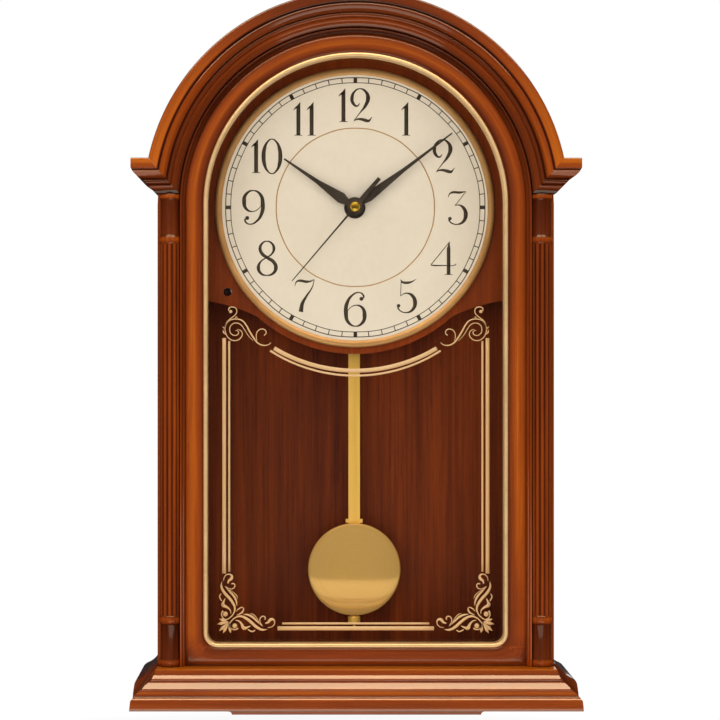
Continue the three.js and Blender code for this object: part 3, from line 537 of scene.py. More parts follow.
def reach(piece, now, then):
    """Draws the selected face out, so that each point goes from its place in `now` to the one in `then`."""
    far = Vector((0, 0, 9))
    pull(far)
    mesh = bmesh.from_edit_mesh(piece.data)
    for vertex in mesh.verts:
        if vertex.select:
            place = vertex.co + piece.location - far
            nearest = min(range(len(now)), key=lambda i: (place - now[i]).length)
            vertex.co = then[nearest] - piece.location
    bmesh.update_edit_mesh(piece.data)


def make_shoulder(side, name):
    front = FRAME_FRONT + GAP
    wall = CASE_HALF + GAP
    inner = [(CORNICE_INNER, wall), (6.6, wall + GAP), (0, mitre_x(0) + GAP)]

    def at(x, depth, t):
        return spot(side * x, depth, CORNICE_TOP - t)

    mitre = [at(mitre_x(t) + MITRE_GAP, depth, t) for t, depth in CORNICE_FACE]
    mitre += [at(mitre_x(CORNICE_INNER) + MITRE_GAP, front, CORNICE_INNER)]
    mitre += [at(x, front, t) for t, x in inner[1:]]
    corner = [at(CASE_HALF + side_reach(t), depth, t) for t, depth in CORNICE_FACE]
    corner += [at(x, front, t) for t, x in inner]
    back = [at(CASE_HALF + side_reach(t), 0, t) for t, _ in CORNICE_FACE] + [at(x, 0, t) for t, x in inner]
    piece = face(name + "_moulding", mitre)
    reach(piece, mitre, corner)
    reach(piece, corner, back)
    close_up(piece)
    soften(piece)
    lay_grain(piece, lambda p: abs(p.x) - p.y, lambda p: p.z, lambda p: SHOULDER_STAIN_AND_SHADE(CORNICE_TOP - p.z))
    dress(piece, FINISHES["moulding"], slot="stained_wood", stands_for=[name])


def make_listel():
    r, bottom = LISTEL_OUTER, PLINTH_TOP + GAP
    section = [
        (r - 3.8, 70.3), (r - 3.8, 71.5), (r - 3.4, 72.6), (r - 2.8, 73.2), (r - 2.2, 73.3), (r - 2, 73.8),
        (r - 1.7, 74.7), (r - 1.1, 75.3), (r - 0.5, 75.3), (r, 74.8), (r, 70.3),
    ]
    rise = shift(height=CENTRE - bottom)
    piece = face("frame_listel_moulding", [spot(radius, depth, bottom) for radius, depth in section])
    pull(rise)
    sweep(HALF, spot(0, 0, CENTRE), ARCH_STEPS)
    pull(-rise)
    close_up(piece)
    soften(piece, 0.1)
    # Painted shade: the listel is darker round the arch, where the cornice shades it, darker in its groove,
    # and darker at its outer edge beside the column.
    bent_shaded = ramp([(r - 3.8, 0.3), (r - 3, 0.24), (r - 2.2, 0.16), (r - 1.6, 0.26), (r - 0.5, 0.28), (r, 0.12)])
    upright = ramp([(r - 3.8, 0.52), (r - 2.6, 0.54), (r - 2, 0.44), (r - 1.4, 0.58), (r - 0.5, 0.6),
                    (r, 0.2)])
    share = ramp([(CENTRE - 40, 0), (CENTRE + 70, 1)])

    def stain(p):
        out = from_middle(p)
        return upright(out) + share(p.z) * (bent_shaded(out) - upright(out))

    lay_grain(piece, along_arch, lambda p: from_middle(p) + p.y, stain)
    dress(piece, FINISHES["moulding"], slot="dark_wood", stands_for=["frame_listel"])


FACE_WIDTH = 12.7


def around_window(name, section):
    """A closed band round the window. Its section is (distance out from the window's edge, depth)."""
    flat = shift(across=WINDOW_HALF - WINDOW_CORNER)
    rise = shift(height=CENTRE - WINDOW_BOTTOM - WINDOW_CORNER)
    right = spot(WINDOW_HALF - WINDOW_CORNER, 0, WINDOW_BOTTOM + WINDOW_CORNER)
    left = spot(WINDOW_CORNER - WINDOW_HALF, 0, WINDOW_BOTTOM + WINDOW_CORNER)
    piece = loop(name, [spot(0, depth, WINDOW_BOTTOM - out) for out, depth in section])
    pull(flat)
    sweep(QUARTER, right, CORNER_STEPS)
    pull(rise)
    sweep(HALF, spot(0, 0, CENTRE), ARCH_STEPS)
    pull(-rise)
    sweep(QUARTER, left, CORNER_STEPS)
    pull(flat)
    return close_up(piece)


def out_of_window(p):
    """How far out from the window's edge a point on the frame lies."""
    if p.z > CENTRE:
        return from_middle(p) - WINDOW_HALF
    x, z = abs(p.x) - WINDOW_HALF + WINDOW_CORNER, WINDOW_BOTTOM + WINDOW_CORNER - p.z
    square = max(x, z) - WINDOW_CORNER
    if x > 0 and z > 0:
        share = min(max(square / FACE_WIDTH, 0), 1)
        return share * square + (1 - share) * (math.hypot(x, z) - WINDOW_CORNER)
    return square


def square_lower_corners(piece, widest):
    """Fills the band's round lower corners out to a square edge, so that it meets the plinth in full."""
    for vertex in piece.data.vertices:
        x = abs(vertex.co.x) / MM - WINDOW_HALF + WINDOW_CORNER
        z = WINDOW_BOTTOM + WINDOW_CORNER + FOOT - vertex.co.z / MM
        if x > 0 and z > 0:
            radius = math.hypot(x, z)
            share = (radius - WINDOW_CORNER) / widest
            stretch = 1 + share * (radius / max(x, z) - 1)
            vertex.co.x += math.copysign(x * (stretch - 1) * MM, vertex.co.x)
            vertex.co.z -= z * (stretch - 1) * MM
    piece.data.update()


def make_frame_face():
    section = [
        (0.35, 70.05), (0.35, 70.6), (0.9, 71), (2.4, 71.15), (6.5, 71.2), (10.5, 71.15), (12, 71),
        (FACE_WIDTH, 70.6), (FACE_WIDTH, 70.05),
    ]
    piece = around_window("frame_face", section)
    square_lower_corners(piece, section[-1][0])
    soften(piece)
    # Tone with painted shade: darker along the window's edge and along the outer edge, the outer edge darkest
    # round the arch under the cornice, and darker along the bottom rail.
    upright = ramp([(0.35, 0.34), (1.4, 0.44), (2.6, 0.54), (4, 0.63), (6, 0.7), (9, 0.7), (11, 0.63),
                    (12.9, 0.55)])
    bent_shaded = ramp([(0.35, 0.3), (2.6, 0.42), (4, 0.6), (5.6, 0.7), (8, 0.66), (10, 0.58), (11.5, 0.5),
                 (12.7, 0.36)])
    level = ramp([(0.35, 0.36), (1.6, 0.44), (5, 0.52), (8, 0.52), (10.5, 0.46), (12, 0.36), (12.9, 0.22)])
    high = ramp([(CENTRE - 30, 0), (CENTRE + 80, 1)])
    low = ramp([(WINDOW_BOTTOM - 6, 1), (WINDOW_BOTTOM + 14, 0)])

    def tone(p):
        out = out_of_window(p)
        value = upright(out) + high(p.z) * (bent_shaded(out) - upright(out))
        return value + low(p.z) * (level(out) - value)

    def along(p):
        return p.x if p.z < WINDOW_BOTTOM else along_arch(p)

    lay_grain(piece, along, lambda p: out_of_window(p) + p.y, tone)
    dress(piece, FINISHES["moulding"], slot="stained_wood")


def make_bead():
    section = [
        (-0.3, 62), (-0.3, 70.3), (-0.6, 70.9), (-1.1, 71.2), (-2.5, 71.2), (-3, 70.9), (-3.3, 70.3),
        (-3.3, 62),
    ]
    piece = around_window("window_bead_gilt", section)
    soften(piece)
    dress(piece, FINISHES["gilt"], slot="gilt", stands_for=["window_bead"])


# The fourth column is stain with painted light: lighter on the top face where light falls, and painted shade
# in the quirks between the rolls.
PLINTH_FACE = [  # (depth, height, reach past the case at its mitred ends, stain with painted light and shade)
    (85.6, 29.3, 0, 0.76), (86.2, 29, 0.1, 0.76), (86.4, 28.5, 0.1, 0.56), (86.4, 25.2, 1.4, 0.5),
    (86.6, 24.9, 1.6, 0.5), (86.9, 24.5, 1.8, 0.55), (87.9, 22.9, 2.7, 0.55), (88.1, 22.5, 2.9, 0.55),
    (88, 22.2, 3.1, 0.45), (87.2, 21.9, 3.3, 0.4), (87, 20.4, 4.6, 0.4), (87.3, 19.8, 5.4, 0.5),
    (88.2, 18.2, 7.6, 0.5), (89.7, 15.7, 9.6, 0.56), (89.5, 15.1, 10, 0.5), (88.8, 14.6, 10.8, 0.5),
    (88.7, 13.2, 12.7, 0.6), (89, 12.6, 13.4, 0.6), (89.6, 11.5, 14.7, 0.55), (89.6, 10.2, 15.8, 0.36),
    (89.8, 9.8, 16, 0.4), (90.8, 9.1, 16.7, 0.62), (91.6, 8.3, 17.3, 0.62), (92, 7.2, 18, 0.52),
    (92, 1.4, 18.6, 0.5), (92, 0, 18.7, 0.3),
]
PLINTH_LIFT = 1.16  # lightens the stain and painted light over the whole face
PLINTH_SIDE = [  # (reach past the case, height)
    (0.8, 31), (2, 30), (3.6, 28.4), (5, 26.9), (6.2, 25.5), (7.4, 24.1), (8.8, 22.8), (10.2, 21.8),
    (11.8, 20.9), (13.6, 20.1), (15, 19.2), (16.2, 17.9), (17, 16), (17.5, 13), (17.9, 10), (18.2, 7),
    (18.4, 0),
]


def make_plinth():
    back = FRAME_FRONT + GAP
    section = [*[row[:3] for row in PLINTH_FACE], (back, 0, 18.4), (back, PLINTH_TOP, 0)]
    ends = [[spot(side * (CASE_HALF + out), depth, z) for depth, z, out in section] for side in (-1, 1)]
    piece = face("plinth_front_moulding", ends[0])
    reach(piece, *ends)
    close_up(piece)
    soften(piece)
    stain = ramp([(height, PLINTH_LIFT * tone) for _, height, _, tone in reversed(PLINTH_FACE)])
    lay_grain(piece, lambda p: p.x, lambda p: p.z + p.y, lambda p: stain(p.z))
    dress(piece, FINISHES["plinth"], slot="stained_wood", stands_for=["plinth_front"])

    side_stain = ramp([(0, 0.5), (17, 0.5), (20, 0.4), (26, 0.42), (31, 0.3)])
    for side, name in ((-1, "plinth_left"), (1, "plinth_right")):
        profile = [*PLINTH_SIDE, (GAP, 0), (GAP, 31)]
        piece = face(name + "_moulding", [spot(side * (CASE_HALF + out), 0, z) for out, z in profile])
        pull(shift(depth=FRAME_FRONT))
        close_up(piece)
        soften(piece, 0.15)
        lay_grain(piece, lambda p: p.y, lambda p: p.z + abs(p.x), lambda p: side_stain(p.z))
        dress(piece, FINISHES["plinth"], slot="stained_wood", stands_for=[name])


# ---- Half columns ---------------------------------------------------------------------------
COLUMN_FOOT = [
    (0, 29.6), (7.7, 29.6), (8.1, 30.2), (8.1, 33.2), (7.9, 34.6), (7.4, 35.5), (7.2, 36.2), (7.2, 59.8),
    (7.4, 60.5), (7.9, 61.2), (8.2, 62.6), (8.2, 64.6), (7.9, 66), (7.4, 66.7), (0, 66.7),
]
COLUMN_HEAD = [
    (0, 337.7), (7.4, 337.7), (7.9, 338.4), (8.2, 339.8), (8.2, 341.8), (7.9, 343.2), (7.4, 343.9),
    (7.2, 344.6), (7.2, 369.2), (7.4, 370), (7.8, 370.7), (8, 371.8), (8, 373), (7.6, 374.2), (0, 374.2),
]
SHAFT_LOW, SHAFT_HIGH, SHAFT_RADIUS = 66.7, 337.7, 7.5
REED_PITCH, REED_DEPTH, SHAFT_STEPS = math.radians(30), 0.8, 72
# Stain up the column with painted light and shade: dark quirks between the rings and at the foot, lighter
# ring tops, and a lighter middle on the head block.
COLUMN_STAIN_AND_SHADE = ramp([
    (29.6, 0.2), (30.6, 0.5), (33, 0.62), (35.5, 0.3), (37, 0.4), (48, 0.52), (56, 0.44), (60.4, 0.22),
    (61.4, 0.5), (65, 0.62), (66.6, 0.3), (337.8, 0.28), (339, 0.52), (342, 0.66), (343.8, 0.3),
    (345, 0.42), (350, 0.54), (356, 0.48), (364, 0.4), (369, 0.28), (370.4, 0.26), (371.4, 0.6),
    (373, 0.64), (374.2, 0.24),
])


def make_column(side, name):
    middle, back = side * COLUMN_X, FRAME_FRONT + GAP
    axis = spot(middle, back, 0)
    parts = []
    for label, profile in (("foot", COLUMN_FOOT), ("head", COLUMN_HEAD)):
        piece = start(f"{name}_{label}", spot(middle, back, profile[0][1]))
        draw([spot(middle - r, back, z) for r, z in profile])
        bpy.ops.mesh.select_all(action="SELECT")
        sweep(HALF, axis, 28, (0, 0, -1))
        bpy.ops.mesh.select_all(action="SELECT")
        bpy.ops.mesh.remove_doubles(threshold=MM / 1000)
        bpy.ops.mesh.select_all(action="DESELECT")
        bpy.ops.mesh.select_non_manifold()
        bpy.ops.mesh.edge_face_add()
        parts.append(close_up(piece))
    plan = []
    for i in range(SHAFT_STEPS + 1):
        angle = HALF * (i / SHAFT_STEPS - 0.5)
        radius = SHAFT_RADIUS - REED_DEPTH * (1 - abs(math.cos(HALF * angle / REED_PITCH)))
        plan.append(spot(middle + radius * math.sin(angle), back + radius * math.cos(angle), SHAFT_LOW))
    piece = face(f"{name}_shaft", plan)
    pull(shift(height=SHAFT_HIGH - SHAFT_LOW))
    parts.append(close_up(piece))
    bpy.ops.object.select_all(action="DESELECT")
    for part in parts:
        part.select_set(True)
    bpy.context.view_layer.objects.active = parts[0]
    bpy.ops.object.join()
    piece = bpy.context.object
    piece.name = piece.data.name = name + "_turned"
    bpy.ops.object.mode_set(mode="EDIT")
    bpy.ops.mesh.select_all(action="SELECT")
    edge = side * (LISTEL_OUTER + GAP)
    bpy.ops.mesh.bisect(plane_co=spot(edge, 0, 0), plane_no=(side, 0, 0), clear_inner=True, use_fill=True)
    close_up(piece)
    soften(piece)

    def stain(p):
        radius = math.hypot(p.x - middle, p.y - back)
        # Painted shade: the flutes darken towards their bottoms.
        if SHAFT_LOW - 0.01 < p.z < SHAFT_HIGH + 0.01 and radius < SHAFT_RADIUS + 0.01:
            return 0.2 + 0.36 * max(0, 1 - (SHAFT_RADIUS - radius) / REED_DEPTH)
        return COLUMN_STAIN_AND_SHADE(p.z)

    lay_grain(piece, lambda p: p.z, lambda p: p.x * 1.5 + p.y, stain)
    dress(piece, FINISHES["column"], slot="dark_wood", stands_for=[name])


# ---- Case boards ----------------------------------------------------------------------------
def board(name, material, slot):
    """A board in the place of the frame's node, with its edges eased."""
    low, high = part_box(name)
    bpy.ops.object.select_all(action="DESELECT")
    bpy.ops.mesh.primitive_cube_add(size=1, location=(low + high) / 2, scale=high - low)
    piece = bpy.context.object
    piece.name = piece.data.name = name + "_eased"
    bpy.ops.object.transform_apply(location=True, rotation=True, scale=True)
    soften(piece, 0.5)
    dress(piece, FINISHES[material], slot=slot, stands_for=[name])


def make_roof():
    low = spot(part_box("side_right")[0].x / MM, 0, CENTRE)
    thick = CASE_HALF * MM - low.x
    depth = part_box("arched_roof")[0].y
    corners = [low, low + Vector((thick, 0, 0)), low + Vector((thick, depth, 0)), low + Vector((0, depth, 0))]
    piece = face("arched_roof_bent", corners)
    sweep(HALF, spot(0, 0, CENTRE), ARCH_STEPS)
    close_up(piece)
    soften(piece, 0.4)
    lay_grain(piece, along_arch, lambda p: from_middle(p) + p.y, lambda p: 0.5)
    dress(piece, FINISHES["moulding"], slot="dark_wood", stands_for=["arched_roof"])


# ---- Dial -----------------------------------------------------------------------------------
CARD_EDGE = 100.3


def round_piece(name, profile):
    """A ring round the dial's centre, turned from a closed (radius, depth) profile."""
    points = [spot(radius, depth, CENTRE) for radius, depth in profile]
    return turned(name, [*points, points[0]], spot(0, 0, CENTRE))


def lay_spin(piece, middle):
    """A UV map round a turned face: the turn in X and the distance from the middle, in metres, in Y."""
    layer = piece.data.uv_layers.new(name="spin")
    for polygon in piece.data.polygons:
        about = math.atan2(polygon.center.z - middle.z, polygon.center.x - middle.x)
        for index in polygon.loop_indices:
            away = piece.data.vertices[piece.data.loops[index].vertex_index].co - middle
            radius = math.hypot(away.x, away.z)
            angle = math.atan2(away.z, away.x) if radius > MM / 100 else about
            angle += FULL * round((about - angle) / FULL)
            layer.data[index].uv = (angle / FULL, radius)


def make_dial():
    card = [(4.4, 38.4), (4.4, CARD_FACE), (98.2, CARD_FACE), (99, CARD_FACE + 0.2),
            (CARD_EDGE, CARD_FACE + 0.8), (CARD_EDGE, 38.4)]
    piece = round_piece("dial_card", card)
    soften(piece)
    dress(piece, FINISHES["card"], slot="dial_card", stands_for=["dial_plate"])
    ring = [(100.4, 38.3), (100.4, 41.3), (99.5, 41.5), (99.3, 41.9), (99.6, 42.2), (100.8, 42.8), (102, 43),
            (103.2, 42.8), (104.1, 42.2), (104.5, 41.4), (104.5, 38.3)]
    piece = round_piece("dial_ring_gilt", ring)
    soften(piece)
    dress(piece, FINISHES["ring"], slot="dial_gilt", stands_for=["dial_ring"])


INK_THICKNESS, INK_RESOLUTION = 0.05, 8


def ribbons(name, strokes, depth, centre):
    """Flat printed strokes that face forward.

    A stroke is a list of (across, up, half width), and a closed one ends where it starts.
    """
    line = bpy.data.curves.new(name, "CURVE")
    line.dimensions, line.twist_mode = "3D", "Z_UP"
    line.extrude, line.resolution_u = MM, INK_RESOLUTION
    for points in strokes:
        spline = line.splines.new("BEZIER")
        spline.use_cyclic_u = points[0] == points[-1]
        if spline.use_cyclic_u:
            points = points[:-1]
        spline.bezier_points.add(len(points) - 1)
        for knot, (x, z, half) in zip(spline.bezier_points, points):
            knot.co = (x * MM, z * MM, 0)
            knot.handle_left_type = knot.handle_right_type = "AUTO"
            knot.radius, knot.tilt = half, QUARTER
    piece = bpy.data.objects.new(name, line)
    bpy.context.scene.collection.objects.link(piece)
    chosen(piece)
    bpy.ops.object.convert(target="MESH")
    piece = bpy.context.object
    place = spot(centre[0], depth, centre[1])
    piece.data.transform(Matrix.Translation(place) @ Matrix.Rotation(QUARTER, 4, "X"))
    for polygon in piece.data.polygons:
        if polygon.normal.y > 0:
            polygon.flip()
    piece.data.update()
    use(piece, "SOLIDIFY", thickness=INK_THICKNESS * MM, offset=1)
    return piece


def straight(x0, z0, x1, z1, half):
    return [(x0, z0, half), ((x0 + x1) / 2, (z0 + z1) / 2, half), (x1, z1, half)]


def ring_stroke(radius, half):
    turns = [FULL * i / 16 for i in range(16)]
    knots = [(radius * math.cos(a), radius * math.sin(a), half) for a in turns]
    return [*knots, knots[0]]


def ball(x, z, radius):
    """A round dot, as a short stroke that swells."""
    shape = ((-1, 0.05), (-0.7, 0.71), (0, 1), (0.7, 0.71), (1, 0.05))
    return [(x + along * radius, z, width * radius) for along, width in shape]


def half_turn(strokes):
    """A numeral turned upside down, as a 6 becomes a 9."""
    return [[(-x, 100 - z, w) for x, z, w in points] for points in strokes]


# Numerals are drawn on a body 100 units high, about their own middle line.
SIX = [
    ball(18.5, 82, 6.2),
    [(24.5, 84, 2.4), (25, 91, 2.8), (12, 101, 1.7), (-10, 92, 3), (-26, 66, 5.4), (-28.5, 40, 6.3),
     (-22, 12, 4.6), (0, -1, 1.7), (22, 10, 4.5), (28, 33, 6.2), (21, 55, 4), (3, 62.5, 1.6),
     (-15, 55, 1.2), (-25, 42, 0.7)],
]
DIGITS = {
    "0": [[(0, 102.4, 1.5), (14, 93, 2.9), (23, 72, 5.4), (25.3, 50, 6.3), (23, 28, 5.4), (14, 7, 2.9),
           (0, -2.4, 1.5), (-14, 7, 2.9), (-23, 28, 5.4), (-25.3, 50, 6.3), (-23, 72, 5.4),
           (-14, 93, 2.9), (0, 102.4, 1.5)]],
    "1": [straight(0, 0.4, 0, 86, 6), [(0, 85, 6), (2.4, 93, 3.6), (5.6, 101, 0.6)],
          [(-15, 77, 0.5), (-8, 84, 2.4), (0, 88, 5)], straight(-12, 0.9, 12, 0.9, 1)],
    "2": [[(-4.5, 56, 1), (-13, 48, 2.6), (-25, 57, 4.6), (-28, 73, 5.2), (-21, 91, 3),
           (-4.5, 100.5, 1.5), (13, 92, 3.8), (20.5, 73, 6.4), (13, 50, 4.6), (-3.5, 28, 1.6),
           (-22, 4, 0.9)],
          [(-23, 1.5, 0.5), (-14.5, 7.4, 2.4), (-0.5, 8, 4), (13, 4.6, 5.2), (22.5, 3.4, 4),
           (27.6, 8.4, 1.8), (33, 15.5, 0.5)]],
    "3": [[(-28, 80, 0.6), (-22, 92, 2), (-14, 95.4, 3.6), (6, 95, 3.8), (26, 98, 0.9)],
          [(26, 98, 0.9), (10, 77, 1.1), (-7, 55.5, 1)],
          [(-7, 55.5, 1), (5, 57, 1.8), (19, 48, 4.8), (25.5, 27, 6.4), (18, 7, 4.3), (0, -1.4, 1.8),
           (-18, 3, 1.9), (-26.5, 12, 2.2)], ball(-22.5, 16, 5.6)],
    "4": [straight(15, 0.6, 15, 80, 5.4), [(15, 79, 5.4), (16, 90, 3), (18, 101, 0.6)],
          [(16, 98, 1), (-12, 63, 1.3), (-38, 31, 1.3)],
          [(-39, 30, 1.2), (-30, 28.6, 2.2), (0, 28.6, 1.5), (30, 28.6, 1.2), (36, 31, 1.4), (38, 35, 0.4)],
          straight(3, 0.9, 27, 0.9, 1)],
    "5": [[(-17, 99, 0.8), (-13, 92, 2.8), (-5, 89.5, 4), (6, 89.5, 4), (18, 93, 2.2), (30, 100.5, 0.5)],
          straight(-15.6, 95, -17.4, 49, 1),
          [(-17.4, 48.5, 0.9), (-8, 55.5, 1.4), (3, 57.5, 2.2), (18, 50, 4.8), (26.5, 29, 6.3),
           (18.5, 7, 4.1), (0, -1.2, 1.8), (-18, 4, 1.8), (-27, 15, 2.2)], ball(-23.4, 19.5, 5.6)],
    "6": SIX,
    "7": [[(-29, 79, 0.5), (-23, 93, 2), (-13, 95.6, 3.8), (6, 92.4, 4), (18, 93.6, 2.4), (30, 99, 0.8)],
          [(30, 99, 0.9), (24.5, 77, 1.5), (6, 48, 3.2), (-6, 26, 5.2), (-10.5, 1, 6.8)]],
    "8": [[(0, 102, 1.6), (-14, 96, 3), (-21, 80, 4.6), (-14, 63, 5), (3, 51, 4.8), (20, 39, 5.2),
           (27, 22, 5.8), (19, 5, 4), (0, -1.6, 1.7), (-19, 5, 3.8), (-26, 22, 5.2), (-19, 40, 2.4),
           (0, 53, 1.6), (15, 64, 2.6), (21, 80, 4.4), (14, 96, 3), (0, 102, 1.6)]],
    "9": half_turn(SIX),
}
# Each hour's digits, with how far each stands from the numeral's middle.
NUMERALS = {hour: [(str(hour), 0)] for hour in range(1, 10)}
NUMERALS |= {10: [("1", -33), ("0", 15)], 11: [("1", -18), ("1", 22)], 12: [("1", -36), ("2", 18)]}
NUMERAL_HEIGHT, NUMERAL_CIRCLE = 24.7, 76.3
TRACK_INNER, TRACK_OUTER, GILT_CIRCLE = 93.2, 97.0, 59.2
PRINT_RISE, PRINT_SHIFT = 0.03, 0.4


def make_dial_print():
    middle, depth = (PRINT_SHIFT, CENTRE + PRINT_SHIFT), CARD_FACE + PRINT_RISE
    unit = NUMERAL_HEIGHT / 100
    strokes = []
    for hour, digits in NUMERALS.items():
        angle = QUARTER - FULL * hour / 12
        x0, z0 = NUMERAL_CIRCLE * math.cos(angle), NUMERAL_CIRCLE * math.sin(angle) - NUMERAL_HEIGHT / 2
        for digit, offset in digits:
            strokes += [[(x0 + (x + offset) * unit, z0 + z * unit, w * unit) for x, z, w in points]
                        for points in DIGITS[digit]]
    dress(ribbons("dial_numerals", strokes, depth, middle), FINISHES["ink"], slot="dial_card")
    track = [ring_stroke(TRACK_INNER, 0.28), ring_stroke(TRACK_OUTER, 0.34)]
    for minute in range(60):
        c, s = math.cos(FULL * minute / 60), math.sin(FULL * minute / 60)
        half = 1.35 if minute % 5 == 0 else 0.33
        track.append(straight(TRACK_INNER * c, TRACK_INNER * s, TRACK_OUTER * c, TRACK_OUTER * s, half))
    dress(ribbons("minute_track", track, depth, middle), FINISHES["ink"], slot="dial_card")
    circle = ribbons("gilt_circle", [ring_stroke(GILT_CIRCLE, 0.4)], depth, middle)
    dress(circle, FINISHES["fine_gilt"], slot="dial_gilt")


# ---- Gilt print on the glass ----------------------------------------------------------------
# Strokes of the left half, as (across, height above the foot, half width) in millimetres.
UPPER_SCROLL = [
    [(-87.3, 275.7, 0.18), (-84.7, 274.8, 0.3), (-83.5, 272.6, 0.36), (-84.7, 269.4, 0.36),
     (-88.7, 267.4, 0.36), (-93.2, 269, 0.36), (-95.6, 272.6, 0.36), (-96.1, 277, 0.4), (-94, 281.5, 0.4),
     (-91.4, 282.9, 0.36), (-87.3, 283.3, 0.4), (-83.3, 282, 0.46), (-80.6, 278.8, 0.56),
     (-77.9, 273.9, 0.62), (-74.8, 269, 0.6), (-71.7, 265.4, 0.5), (-67.7, 263.9, 0.45),
     (-64.1, 264.5, 0.3), (-62.3, 265.9, 0.25)],
    [(-88.7, 274.9, 0.14), (-86.7, 274.4, 0.3), (-86.4, 272.6, 0.36), (-88.7, 271.2, 0.32),
     (-91.8, 272.6, 0.32), (-92.8, 275.7, 0.32), (-91.4, 279.1, 0.32), (-87.8, 280.4, 0.32),
     (-84.2, 278.8, 0.32), (-82, 275.7, 0.28), (-78.8, 270.8, 0.22), (-75.3, 267.2, 0.14)],
    [(-72.6, 267.2, 0.2), (-73.2, 270.8, 0.34), (-72.1, 274.4, 0.36), (-69.4, 275.9, 0.36),
     (-66.8, 275.3, 0.36), (-65.9, 273, 0.36), (-67.4, 271.2, 0.4)],
    [(-95.8, 277, 0.2), (-95.4, 280.2, 0.3), (-93.2, 282.9, 0.36), (-90, 285.3, 0.36),
     (-87.8, 287.8, 0.36), (-88, 290.9, 0.36), (-90.5, 292.2, 0.36), (-93.2, 291.4, 0.4),
     (-93.6, 289.4, 0.4)],
    [(-89.1, 284.3, 0.1), (-88, 284.8, 0.4), (-86.9, 284.7, 0.1)],
    [(-98.3, 277.9, 0.1), (-96.7, 276.5, 0.45), (-95.8, 275.7, 0.1)],
    [(-97.6, 275.5, 0.1), (-97.3, 273.5, 0.6), (-95.6, 271.8, 0.1)],
    ball(-92, 288.8, 1.25),
]
LEAF = [
    [(-97.4, 90, 0.25), (-96.4, 93.4, 0.3), (-93.4, 95, 0.4), (-91.3, 93.8, 0.8), (-91.5, 91.9, 1.1),
     (-93.4, 90.2, 0.85), (-94.1, 88.1, 0.4)],
    [(-91.5, 87.9, 0.45), (-89.6, 87.9, 0.42), (-89, 86, 0.42), (-90.7, 84.3, 0.38), (-93.4, 84.4, 0.3),
     (-95.5, 85.8, 0.17)],
    [(-98.6, 89.6, 0.13), (-98.9, 85.8, 0.8), (-96.8, 81.5, 1.05), (-93.4, 77.7, 1.05),
     (-90.5, 73.9, 0.95), (-89, 70.1, 0.75), (-89.6, 66.7, 0.5), (-92.2, 63.3, 0.4), (-95.5, 61.6, 0.38),
     (-98.1, 63.3, 0.38), (-98.7, 66.3, 0.45), (-97.7, 68, 0.6)],
    [(-96.4, 86.2, 0.15), (-92.6, 82, 0.6), (-89.2, 78.1, 0.85), (-87.8, 74.7, 0.6), (-87.5, 71.8, 0.15)],
    [(-94.3, 84, 0.12), (-90.5, 81.9, 0.25), (-87.5, 79, 0.3), (-86.8, 76.8, 0.1)],
    [(-99.1, 80.7, 0.3), (-100.2, 78.6, 0.5), (-98.7, 75.2, 0.4)],
    [(-96, 77.3, 0.2), (-97.2, 74.7, 0.7), (-97.7, 72.4, 1.4), (-94.7, 70.6, 0.8), (-92.4, 68.4, 0.45),
     (-91.9, 65.8, 0.2)],
    ball(-96, 65.6, 1.9),
]
FLAME = [
    [(-87.9, 67.5, 0.17), (-86.1, 69.4, 0.45), (-83, 70.3, 0.3), (-83.6, 66.9, 0.7), (-85.2, 65.9, 0.45),
     (-87.5, 64.8, 0.2)],
]
PALMETTE_ROOT = (-93.4, 59.5)
PALMETTE_TIPS = [(-100.6, 62), (-101.9, 58.2), (-100.6, 53.1), (-97.7, 51.4), (-92.1, 51.6)]
CORNER_SUM, CORNER_GAP = -154.6, 152.9  # place the diagonal that the corner is mirrored over
PRINT_MIDDLE, PRINT_BEHIND = 0.3, 0.12


def along_bottom(strokes):
    """The same strokes, mirrored over the corner's diagonal, to run along the bottom."""
    return [[(z + CORNER_SUM, x + CORNER_GAP, w) for x, z, w in points] for points in strokes]


def on_right(strokes):
    return [[(2 * PRINT_MIDDLE - x, z, w) for x, z, w in points] for points in strokes]


def make_palmette():
    """Five petals that spread from one root and swell towards their tips."""
    x0, z0 = PALMETTE_ROOT
    petal = ((0, 0.2), (0.4, 0.8), (0.68, 1.2), (1, 0.1))
    return [[(x0 + (x1 - x0) * share, z0 + (z1 - z0) * share, w) for share, w in petal]
            for x1, z1 in PALMETTE_TIPS]


def arc_stroke(radius, middle, reach_angle, half):
    """An arc that hangs below its centre, as far to each side as the angle."""
    turns = [math.radians(reach_angle * (i / 8 - 1)) for i in range(17)]
    return [(radius * math.sin(a), middle - radius * math.cos(a), half) for a in turns]


def make_glass_print():
    depth = GLASS_BACK - PRINT_BEHIND
    sides = [straight(-96.9, 95.5, -96.9, 269.3, 1.4), straight(-93.15, 96.9, -93.15, 267.1, 0.75)]
    corner = [*LEAF, *along_bottom(LEAF), *FLAME, *make_palmette()]
    for label, strokes in (("lines", sides), ("scroll", UPPER_SCROLL), ("leaves", corner)):
        for side, drawn in (("left", strokes), ("right", on_right(strokes))):
            dress(ribbons(f"print_{label}_{side}", drawn, depth, (0, 0)), FINISHES["print"], slot="gilt")
    level = [straight(-57.5, 55.05, 58, 55.05, 1.5), straight(-54, 58.65, 54.5, 58.65, 0.75),
             arc_stroke(117.25, 362.5, 30.8, 1.5), arc_stroke(116.8, 358.35, 32.6, 0.75)]
    dress(ribbons("print_middle", level, depth, (0, 0)), FINISHES["print"], slot="gilt")


# ---- Pendulum -------------------------------------------------------------------------------
def make_bob():
    middle = spot(0, 0, BOB_CENTRE)
    profile = [(0, 28.55), (5, 28.48), (10, 28.27), (15, 27.9), (20, 27.38), (25, 26.7), (29, 26),
               (32, 25.36), (33.6, 24.9), (34.4, 24.5), (34.9, 23.9), (35, 23.3), (34.7, 22.8), (34, 22.4),
               (0, 22.4)]
    points = [spot(radius, depth, BOB_CENTRE) for radius, depth in profile]
    piece = turned("bob_dome", points, middle)
    soften(piece)
    lay_spin(piece, middle)
    dress(piece, FINISHES["bob"], "pendulum", "pendulum_brass", ["bob_front"])


